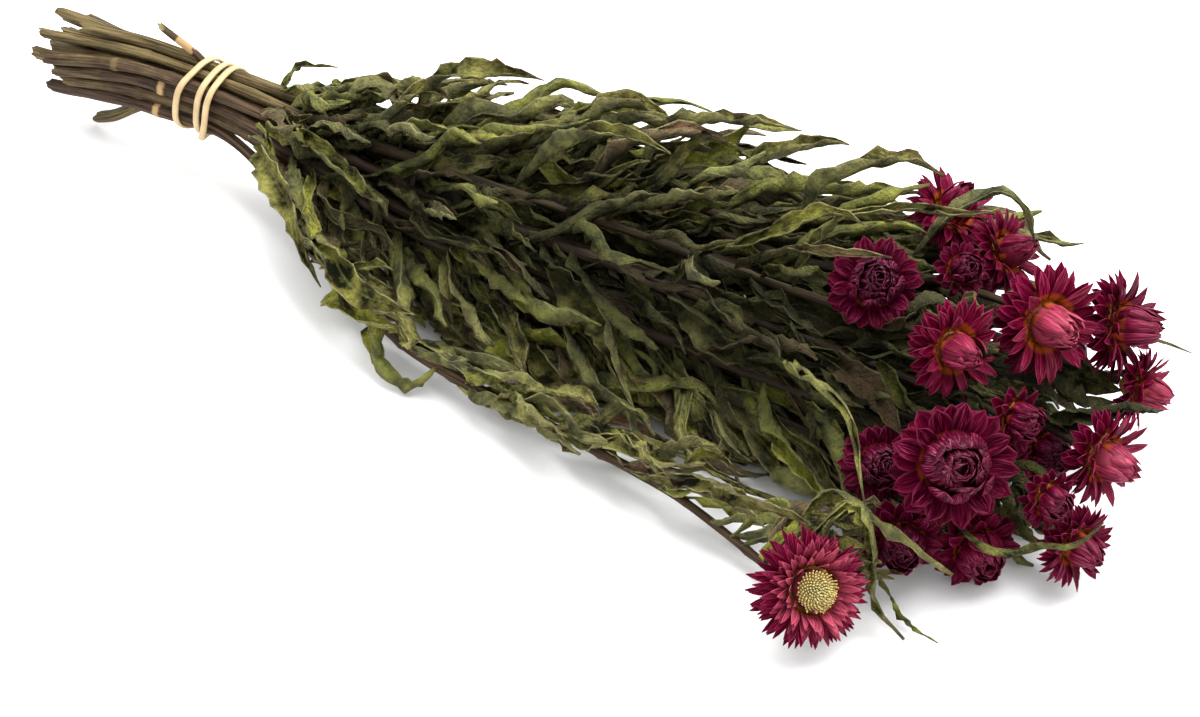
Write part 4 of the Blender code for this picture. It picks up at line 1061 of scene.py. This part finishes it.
# The sizes of each form in that order, as parts of the radius of a head and in degrees
FORMS = {
    "spiky": (112, 0.58, 122.0, 46.0, 16.0, 3.0, 16.0, -66.0, 0.42, 0.66, 0.78, 0.52, 0.180, 0.190,
              0.42, 0.36, 0.30, 0.46, 0.60, 0.9, 0.86, 1.1, 0.009, 0.34, 0.80),
    "closed": (84, 0.42, 112.0, 56.0, 50.0, 8.0, 8.0, -112.0, 0.50, 0.62, 0.80, 0.52, 0.230, 0.260,
               0.44, 0.45, 0.26, 0.42, 0.66, 0.9, 0.62, 1.0, 0.010, 0.46, 0.74),
    "small": (60, 0.44, 106.0, 52.0, 46.0, 6.0, 6.0, -98.0, 0.44, 0.58, 0.80, 0.52, 0.22, 0.270,
              0.45, 0.42, 0.32, 0.46, 0.66, 0.9, 0.70, 1.0, 0.013, 0.42, 0.76),
    "open": (215, 0.97, 116.0, 14.0, 30.0, 26.0, 10.0, 4.0, 0.52, 0.46, 0.30, 0.30, 0.105, 0.05,
             0.42, 0.30, 0.22, 0.46, 0.48, 0.8, 1.00, 1.3, 0.008, 0.30, 0.34),
}
# How pale and how dark each head is
TONES = {
    0: (0.0, 0.25), 1: (0.0, 1.0), 2: (0.0, 0.9), 3: (0.15, 0.35), 4: (0.9, 0.0), 5: (0.15, 0.45),
    6: (0.7, 0.0), 7: (0.35, 0.1), 8: (0.0, 0.7), 9: (0.05, 0.85), 10: (0.55, 0.15), 11: (0.1, 0.7),
    12: (0.0, 0.6), 13: (0.0, 0.9), 14: (0.1, 0.45), 15: (0.6, 0.0), 16: (0.0, 0.5), 17: (0.0, 0.5),
    18: (0.0, 1.0), 19: (0.0, 1.0),
}
GOLDEN = math.pi * (3 - math.sqrt(5))
DEGREE = math.pi / 180
SAME_POINT = 0.00002
HEAD_LOWEST = 0.0003


def new_tree(name, sizes):
    """A Geometry Nodes tree with named inputs, and their identifiers and values."""
    tree = bpy.data.node_groups.new(name, "GeometryNodeTree")
    keys = {}
    for label, kind in {"Geometry": "Geometry", **sizes}.items():
        socket = tree.interface.new_socket(label, in_out="INPUT", socket_type="NodeSocket" + kind)
        keys[label] = socket.identifier
    tree.interface.new_socket("Geometry", in_out="OUTPUT", socket_type="NodeSocketGeometry")
    nodes = Nodes(tree)
    given = tree.nodes.new("NodeGroupInput")
    return nodes, keys, {label: Value(nodes, given.outputs[label]) for label in sizes}


def end_tree(nodes, made, finish):
    """Real meshes with their material, as the output of a tree."""
    real = nodes.add("GeometryNodeRealizeInstances", {}, {"Geometry": made}, "Geometry")
    done = nodes.add("GeometryNodeSetMaterial", {}, {"Geometry": real, "Material": finish}, "Geometry")
    nodes.tree.links.new(done.socket, nodes.tree.nodes.new("NodeGroupOutput").inputs[0])


def mesh_of(nodes, keys, settings):
    """The plain mesh that a tree grows with these settings."""
    carrier = placed("carrier", bpy.data.meshes.new("carrier"))
    grow = carrier.modifiers.new("grow", "NODES")
    grow.node_group = nodes.tree
    for label, setting in settings.items():
        grow[keys[label]] = setting
    graph = bpy.context.evaluated_depsgraph_get()
    mesh = bpy.data.meshes.new_from_object(carrier.evaluated_get(graph))
    bpy.data.objects.remove(carrier)
    return mesh


def store(nodes, geometry, name, value, domain="POINT"):
    settings = {"data_type": "FLOAT", "domain": domain}
    inputs = {"Geometry": geometry, "Name": name, "Value": value}
    return nodes.add("GeometryNodeStoreNamedAttribute", settings, inputs, "Geometry")


def named(nodes, name):
    settings = {"data_type": "FLOAT"}
    return nodes.add("GeometryNodeInputNamedAttribute", settings, {"Name": name}, "Attribute")


def chance(nodes, low, high, number, seed):
    """A random number for each bract or floret."""
    inputs = {2: low, 3: high, "ID": number, "Seed": seed}
    return nodes.add("FunctionNodeRandomValue", {"data_type": "FLOAT"}, inputs, 1)


def joined(nodes, parts):
    whole = nodes.tree.nodes.new("GeometryNodeJoinGeometry")
    for part in parts:
        nodes.tree.links.new(part.socket, whole.inputs[0])
    return Value(nodes, whole.outputs[0])


def blend(share, first, second):
    return first + (second - first) * share


def repeated(nodes, count):
    """Flat bracts on top of each other, each with its number and the places on it stored."""
    sizes = {"Size X": 1.0, "Size Y": 1.0, "Vertices X": 5, "Vertices Y": 6}
    grid = nodes.add("GeometryNodeMeshGrid", {}, sizes, "Mesh")
    position = nodes.add("GeometryNodeInputPosition", {}, {}, "Position")
    x = nodes.add("ShaderNodeSeparateXYZ", {}, (position,))
    grid = store(nodes, grid, "across", x * 2)
    grid = store(nodes, grid, "along", x.other("Y") + 0.5)
    single = nodes.add("GeometryNodeGeometryToInstance", {}, {0: grid}, "Instances")
    many = nodes.add("GeometryNodeDuplicateElements", {"domain": "INSTANCE"},
                     {"Geometry": single, "Amount": count}, "Geometry")
    many = store(nodes, many, "number", many.other("Duplicate Index") + 0.0, "INSTANCE")
    return nodes.add("GeometryNodeRealizeInstances", {}, {"Geometry": many}, "Geometry")


def bract_tree():
    """A spiral of bracts round a core, one unit in radius, standing on the origin."""
    nodes, keys, size = new_tree("strawflower_head", HEAD_SIZES)
    spiral = repeated(nodes, size["Bracts"])
    number, across, along = [named(nodes, name) for name in ("number", "across", "along")]
    layer = number / (size["Bracts"] - 1)
    spiral = store(nodes, spiral, "layer", layer)
    spiral = store(nodes, spiral, "tone", chance(nodes, 0.0, 1.0, number, size["Seed"]))
    in_bud = layer.maths("GREATER_THAN", size["Ring share"])
    ring_step = (layer / size["Ring share"]).clamped()
    bud_step = ((layer - size["Ring share"]) / (1.001 - size["Ring share"])).clamped()
    uneven = size["Uneven"]
    angle = blend(in_bud, blend(ring_step, size["Lowest angle"], size["Ring angle"]),
                  blend(bud_step, size["Bud angle"], size["Top angle"]))
    angle = (angle + chance(nodes, -8.0, 8.0, number, size["Seed"] + 1) * uneven) * DEGREE
    curl = blend(in_bud, size["Ring curl"], size["Bud curl"] * (1 - bud_step * 0.78))
    curl = curl + chance(nodes, -9.0, 12.0, number, size["Seed"] + 2) * uneven
    curl = curl * DEGREE + 0.01
    length = blend(in_bud, blend(ring_step, size["Low length"], size["Ring length"]),
                   blend(bud_step, size["Bud length"], size["Top length"]))
    length = length * (1 + chance(nodes, -0.12, 0.10, number, size["Seed"] + 3) * uneven)
    seat = blend(in_bud, size["Ring seat"] * (1.0 - ring_step * 0.16),
                 blend(bud_step, size["Bud seat"], size["Bud seat"] * 0.25))
    height = blend(in_bud, blend(ring_step, size["Ring height"], size["Bud height"]),
                   blend(bud_step, size["Bud height"], size["Top height"]))
    # A bract is an arc in its own plane, widest past its middle, with a sharp tip
    end = angle + curl * along
    out = seat + length * (angle.cos() - end.cos()) / curl
    rise = height + length * (end.sin() - angle.sin()) / curl
    width = blend(in_bud, size["Ring width"], size["Bud width"])
    width = width * (1 + chance(nodes, -0.15, 0.15, number, size["Seed"] + 4))
    half = width * ((0.42 + along * 2.0) * (1.0 - along).clamped() ** size["Point"] * 0.85 + 0.03)
    cup = size["Cup"] + 0.05
    sideways = half * (across * cup).sin() / cup
    hollow = half * (1 - (across * cup).cos()) / cup
    hollow = hollow + (across * 9.0).cos() * 0.010 * half * 6
    out = out - hollow * end.cos()
    rise = rise + hollow * end.sin()
    twist = chance(nodes, -0.35, 0.35, number, size["Seed"] + 5) * uneven * along
    turned = number * GOLDEN + chance(nodes, -0.10, 0.10, number, size["Seed"] + 6) * uneven
    rise = rise + sideways * twist
    east = out * turned.cos() - sideways * turned.sin()
    north = out * turned.sin() + sideways * turned.cos()
    spot = {"Geometry": spiral, "Position": nodes.xyz(east, north, rise)}
    spiral = nodes.add("GeometryNodeSetPosition", {}, spot, "Geometry")
    # Its two faces meet round its edge
    under = nodes.add("GeometryNodeFlipFaces", {}, {"Mesh": spiral}, "Mesh")
    raised = {"Mesh": spiral, "Offset Scale": size["Bract sheet"], "Individual": False}
    over = nodes.add("GeometryNodeExtrudeMesh", {"mode": "FACES"}, raised, "Mesh")
    both = {"Geometry": joined(nodes, (under, over)), "Distance": SAME_POINT}
    bracts = nodes.add("GeometryNodeMergeByDistance", {}, both, "Geometry")

    ball = nodes.add("GeometryNodeMeshUVSphere", {}, {"Segments": 18, "Rings": 10, "Radius": 1.0}, "Mesh")
    core = nodes.add("GeometryNodeTransform", {}, {
        "Geometry": ball, "Translation": nodes.xyz(0.0, 0.0, size["Core height"] * 0.5 + 0.22),
        "Scale": nodes.xyz(size["Core radius"], size["Core radius"], size["Core height"] * 0.5)}, "Geometry")
    core = store(nodes, store(nodes, core, "layer", 0.9), "along", 0.55)
    foot = nodes.add("GeometryNodeMeshCone", {}, {
        "Vertices": 18, "Side Segments": 4, "Radius Top": 0.44, "Radius Bottom": 0.10,
        "Depth": 0.36}, "Mesh")
    whole = joined(nodes, (bracts, core, store(nodes, foot, "foot", 1.0)))
    end_tree(nodes, nodes.add("GeometryNodeSetShadeSmooth", {}, {0: whole}), size["Finish"])
    return nodes, keys


def head_stand(index):
    """The matrix that stands a head on its base, facing its way, at its full size."""
    head = HEADS[index]
    turned = Vector(head[1]).to_track_quat("Z", "Y").to_matrix().to_4x4()
    spin = Matrix.Rotation(spins[index], 4, "Z")
    base = Vector(head_base(head) + CENTRE_SHIFT)
    return Matrix.Translation(base) @ turned @ spin @ Matrix.Scale(head[2] / 2, 4)


bract_finish, nodes, sockets = new_finish("papery_bract")
across, along, layer, tone = [nodes.mark(name) for name in ("across", "along", "layer", "tone")]
foot, pale, dark = [nodes.mark(name) for name in ("foot", "pale", "dark")]
grain = nodes.noise(nodes.xyz(across * 7, along * 1.2, tone * 40), 1.6, 3.0, 0.6)
outer = nodes.mix(grain.above(0.53, 0.28), (0.009, 0.0001, 0.0012), (0.235, 0.0004, 0.034))
inner = nodes.mix(grain.above(0.53, 0.28), (0.045, 0.0002, 0.006), (0.380, 0.005, 0.070))
burgundy = nodes.mix(grain.above(0.5, 0.35), (0.002, 0.0001, 0.0007), (0.040, 0.0004, 0.011))
magenta = nodes.mix(layer.above(0.62, 0.4) * 0.50 + tone * 0.30, outer, inner)
magenta = nodes.mix((1 - layer).above(0.72, 0.4) * 0.6, magenta, burgundy)
petal = nodes.mix(dark * (0.45 + layer.above(0.40, 0.4) * 0.55), magenta, burgundy)
petal = nodes.mix(pale * layer.above(0.66, 0.3) * grain.above(0.45, 0.4), petal, (0.52, 0.100, 0.140))
# Painted highlight: pale pink streaks on the upper part of the inner bracts stand in for their gloss, and in
# part are their own paler streaks.
painted_shine_streaks = grain.above(0.64, 0.14) * along.above(0.40, 0.4) * layer.above(0.35, 0.3)
petal = nodes.mix(painted_shine_streaks * 0.55, petal, (0.46, 0.13, 0.24))
# Paler edges towards the bract tips: partly the bracts' own colour, partly a painted highlight along the
# edges.
edge = abs(across).above(0.80, 0.3) * along.above(0.55, 0.5)
petal = nodes.mix(edge * (0.20 - dark * 0.04), petal, (0.44, 0.06, 0.13))
petal = nodes.mix((1 - along).above(0.82, 0.20) * (0.95 - dark * 0.35), petal, (0.44, 0.10, 0.008))
petal = nodes.mix(foot, petal, (0.20, 0.085, 0.025))
sockets["Specular IOR Level"].default_value = 0.02
feed(sockets["Base Color"], petal)
feed(sockets["Roughness"], grain * 0.22 + 0.30)
feed(sockets["Coat Weight"], layer.above(0.55, 0.3) * 0.16)
sockets["Coat Roughness"].default_value = 0.16
feed_bump(sockets["Normal"], grain, 0.5, 0.0004)

nodes, keys = bract_tree()
for index, head in enumerate(HEADS):
    settings = dict(zip(HEAD_SIZES, FORMS[head[3]]))
    mesh = mesh_of(nodes, keys, {**settings, "Seed": SEED + 10 * index, "Finish": bract_finish})
    mesh.transform(head_stand(index))
    for point in mesh.vertices:
        point.co.z = max(point.co.z, HEAD_LOWEST)
    for name, value in zip(("pale", "dark"), TONES[index]):
        stored = mesh.attributes.new(name, "FLOAT", "POINT")
        stored.data.foreach_set("value", [value] * len(mesh.vertices))
    piece = placed(f"strawflower_head_{index + 1:02d}", mesh)
    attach(piece, "root")
    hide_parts(f"flower_head_{index + 1:02d}")


# Disc of the open head
# The one head that is fully open shows its middle: a low dome packed with tiny pale yellow
# tubes in a spiral. It sits in the cup of the bracts.
DISC_SIZES = {
    "Florets": "Int", "Disc radius": "Float", "Disc rise": "Float", "Floret radius": "Float",
    "Floret length": "Float", "Seed": "Int", "Finish": "Material",
}
DISC_FORM = (200, 0.26, 0.15, 0.020, 0.13)
DISC_SEAT = 0.58
OPEN_HEAD = [head[3] for head in HEADS].index("open")


def disc_tree():
    """Florets in a spiral on a low dome, one unit in radius."""
    nodes, keys, size = new_tree("strawflower_disc", DISC_SIZES)
    spread = {"Count": size["Florets"], "Offset": (0.0, 0.0, 0.0)}
    line = nodes.add("GeometryNodeMeshLine", {}, spread, "Mesh")
    order = nodes.add("GeometryNodeInputIndex", {}, {}, "Index")
    number = order + 0.5
    share = (number / size["Florets"]) ** 0.5
    turned = number * GOLDEN
    east = share * size["Disc radius"] * turned.cos()
    north = share * size["Disc radius"] * turned.sin()
    spot = nodes.xyz(east, north, (1 - share * share) * size["Disc rise"])
    line = nodes.add("GeometryNodeSetPosition", {}, {"Geometry": line, "Position": spot}, "Geometry")
    floret = nodes.add("GeometryNodeMeshCone", {}, {
        "Vertices": 6, "Side Segments": 2, "Radius Top": size["Floret radius"] * 0.55,
        "Radius Bottom": size["Floret radius"], "Depth": size["Floret length"]}, "Mesh")
    lean = {"Vector": nodes.xyz(east, north, 0.45)}
    many = nodes.add("GeometryNodeInstanceOnPoints", {}, {
        "Points": store(nodes, line, "layer", share), "Instance": floret,
        "Rotation": nodes.add("FunctionNodeAlignRotationToVector", {"axis": "Z"}, lean, "Rotation"),
        "Scale": nodes.xyz(1.0, 1.0, chance(nodes, 0.7, 1.25, order, size["Seed"]))}, "Instances")
    ball = nodes.add("GeometryNodeMeshUVSphere", {}, {"Segments": 24, "Rings": 12, "Radius": 1.0}, "Mesh")
    shape = nodes.xyz(size["Disc radius"], size["Disc radius"], size["Disc rise"])
    dome = nodes.add("GeometryNodeTransform", {}, {"Geometry": ball, "Scale": shape}, "Geometry")
    end_tree(nodes, joined(nodes, (many, dome)), size["Finish"])
    return nodes, keys


disc_finish, nodes, sockets = new_finish("disc_floret")
grain = nodes.noise(nodes.place(), 1400.0, 3.0)
disc = nodes.mix(nodes.mark("layer") * 0.7 + grain * 0.3, (0.50, 0.48, 0.21), (0.48, 0.33, 0.11))
feed(sockets["Base Color"], nodes.mix(grain.above(0.62, 0.2), disc, (0.32, 0.20, 0.06)))
feed(sockets["Roughness"], grain * 0.2 + 0.65)
nodes, keys = disc_tree()
settings = dict(zip(DISC_SIZES, DISC_FORM))
mesh = mesh_of(nodes, keys, {**settings, "Seed": SEED, "Finish": disc_finish})
mesh.transform(head_stand(OPEN_HEAD) @ Matrix.Translation((0, 0, DISC_SEAT)))
piece = placed("open_head_florets", mesh)
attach(piece, "root")
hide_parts("open_head_disc")


# Tie
# A cream rubber band is wound three times round the stems below the leaves and crosses
# itself on the underside. It is flat, with rounded edges, and a little dusty, and nothing
# else holds the bunch.
BAND_WIDTH = 0.0032
BAND_THICKNESS = 0.0012
BAND_TURN_X = (-0.0080, 0.0014, 0.0064)
BAND_TURN_LEAN = (0.0042, 0.0016, 0.0012)
BAND_CHANGE = 0.20
BAND_CROSSING = (0.34, 0.14)
BAND_STEPS = 48
BAND_RING = 0.0011
BAND_SOFT = 34
# What the band sinks into the bunch where it is smoothed, given back
BAND_SUNK = 0.0009
BAND_SIDES = 12


def band_route(slots, thick):
    """The middle line of the rubber band: three turns on the stems, then back across them."""
    route = []
    for step in range(3 * BAND_STEPS):
        lap, share = divmod(step, BAND_STEPS)
        share /= BAND_STEPS
        facing = 2 * math.pi * step / BAND_STEPS - math.pi / 2
        normal = np.array((math.cos(facing), math.sin(facing)))
        reach = [slot @ normal + radius for slot, radius in zip(slots, thick)]
        best = int(np.argmax(reach))
        # The turns change over on the underside, where the last one crosses the others
        late = np.clip((share - 1 + BAND_CHANGE) / BAND_CHANGE, 0, 1) * 0.5
        early = np.clip((BAND_CHANGE - share) / BAND_CHANGE, 0, 1) * 0.5
        x = BAND_TURN_X[lap] * (1 - late - early) + BAND_TURN_X[(lap + 1) % 3] * late
        x += BAND_TURN_X[(lap - 1) % 3] * early
        x += BAND_TURN_LEAN[lap] * math.cos(facing - math.radians(45))
        lift = 0.0
        start, ramp = BAND_CROSSING
        if lap == 2:
            lift = np.clip((share - 1 + start) / ramp, 0, 1)
        if lap == 0:
            lift = np.clip((start - share) / ramp, 0, 1)
        offset = thick[best] + GAP * 2.2 + BAND_THICKNESS / 2 + lift * (BAND_THICKNESS + GAP * 2)
        across = slots[best] + normal * offset
        route.append((TIE_X + x, TIE_Y + across[0], TIE_Z + across[1], *normal))
    return np.array(route)


def rounded(value):
    return math.copysign(abs(value)**0.8, value)


def wound_band(route):
    """The band as a closed loop with a rounded section."""
    route = np.concatenate([route, route[:1]])
    run = run_along(route[:, :3])
    count = int(run[-1] / BAND_RING)
    even = np.linspace(0, run[-1], count, endpoint=False)
    route = np.array([np.interp(even, run, route[:, k]) for k in range(5)]).T
    middle = route[:, :3]
    outward = np.insert(route[:, 3:], 0, 0.0, axis=1)
    for turn in range(BAND_SOFT):
        middle = middle * 0.5 + (np.roll(middle, 1, axis=0) + np.roll(middle, -1, axis=0)) * 0.25
    middle = middle + outward * BAND_SUNK
    rings, faces = [], []
    for step in range(count):
        tangent = unit(middle[(step + 1) % count] - middle[step - 1])
        out = unit(outward[step] - tangent * np.dot(outward[step], tangent))
        wide = np.cross(tangent, out)
        turn = 0.35 * math.sin(6.283 * 3 * step / count * 2.3)
        a, b = step * BAND_SIDES, (step + 1) % count * BAND_SIDES
        for corner in range(BAND_SIDES):
            angle = 2 * math.pi * corner / BAND_SIDES + turn
            aside = wide * rounded(math.cos(angle)) * BAND_WIDTH * 0.47
            rings.append(middle[step] + aside + out * rounded(math.sin(angle)) * BAND_THICKNESS * 0.68)
            following = (corner + 1) % BAND_SIDES
            faces.append((a + corner, b + corner, b + following, a + following))
    return np.array(rings), faces, {}, 0


band_finish, nodes, sockets = new_finish("rubber_band")
cloud = nodes.noise(nodes.place(), 160.0, 3.0)
dust = nodes.noise(nodes.place(), 1800.0, 3.0)
cream = nodes.mix(cloud.above(0.5, 0.5), (0.38, 0.26, 0.125), (0.52, 0.39, 0.21))
feed(sockets["Base Color"], nodes.mix(dust.above(0.66, 0.15) * 0.4, cream, (0.26, 0.17, 0.09)))
feed(sockets["Roughness"], dust * 0.25 + 0.38)
feed_bump(sockets["Normal"], dust, 0.35, 0.0003)
piece = piece_from("wound_rubber_band", [wound_band(band_route(slots, thick))], (band_finish,))
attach(piece, "root")
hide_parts("rubber_band_tie")
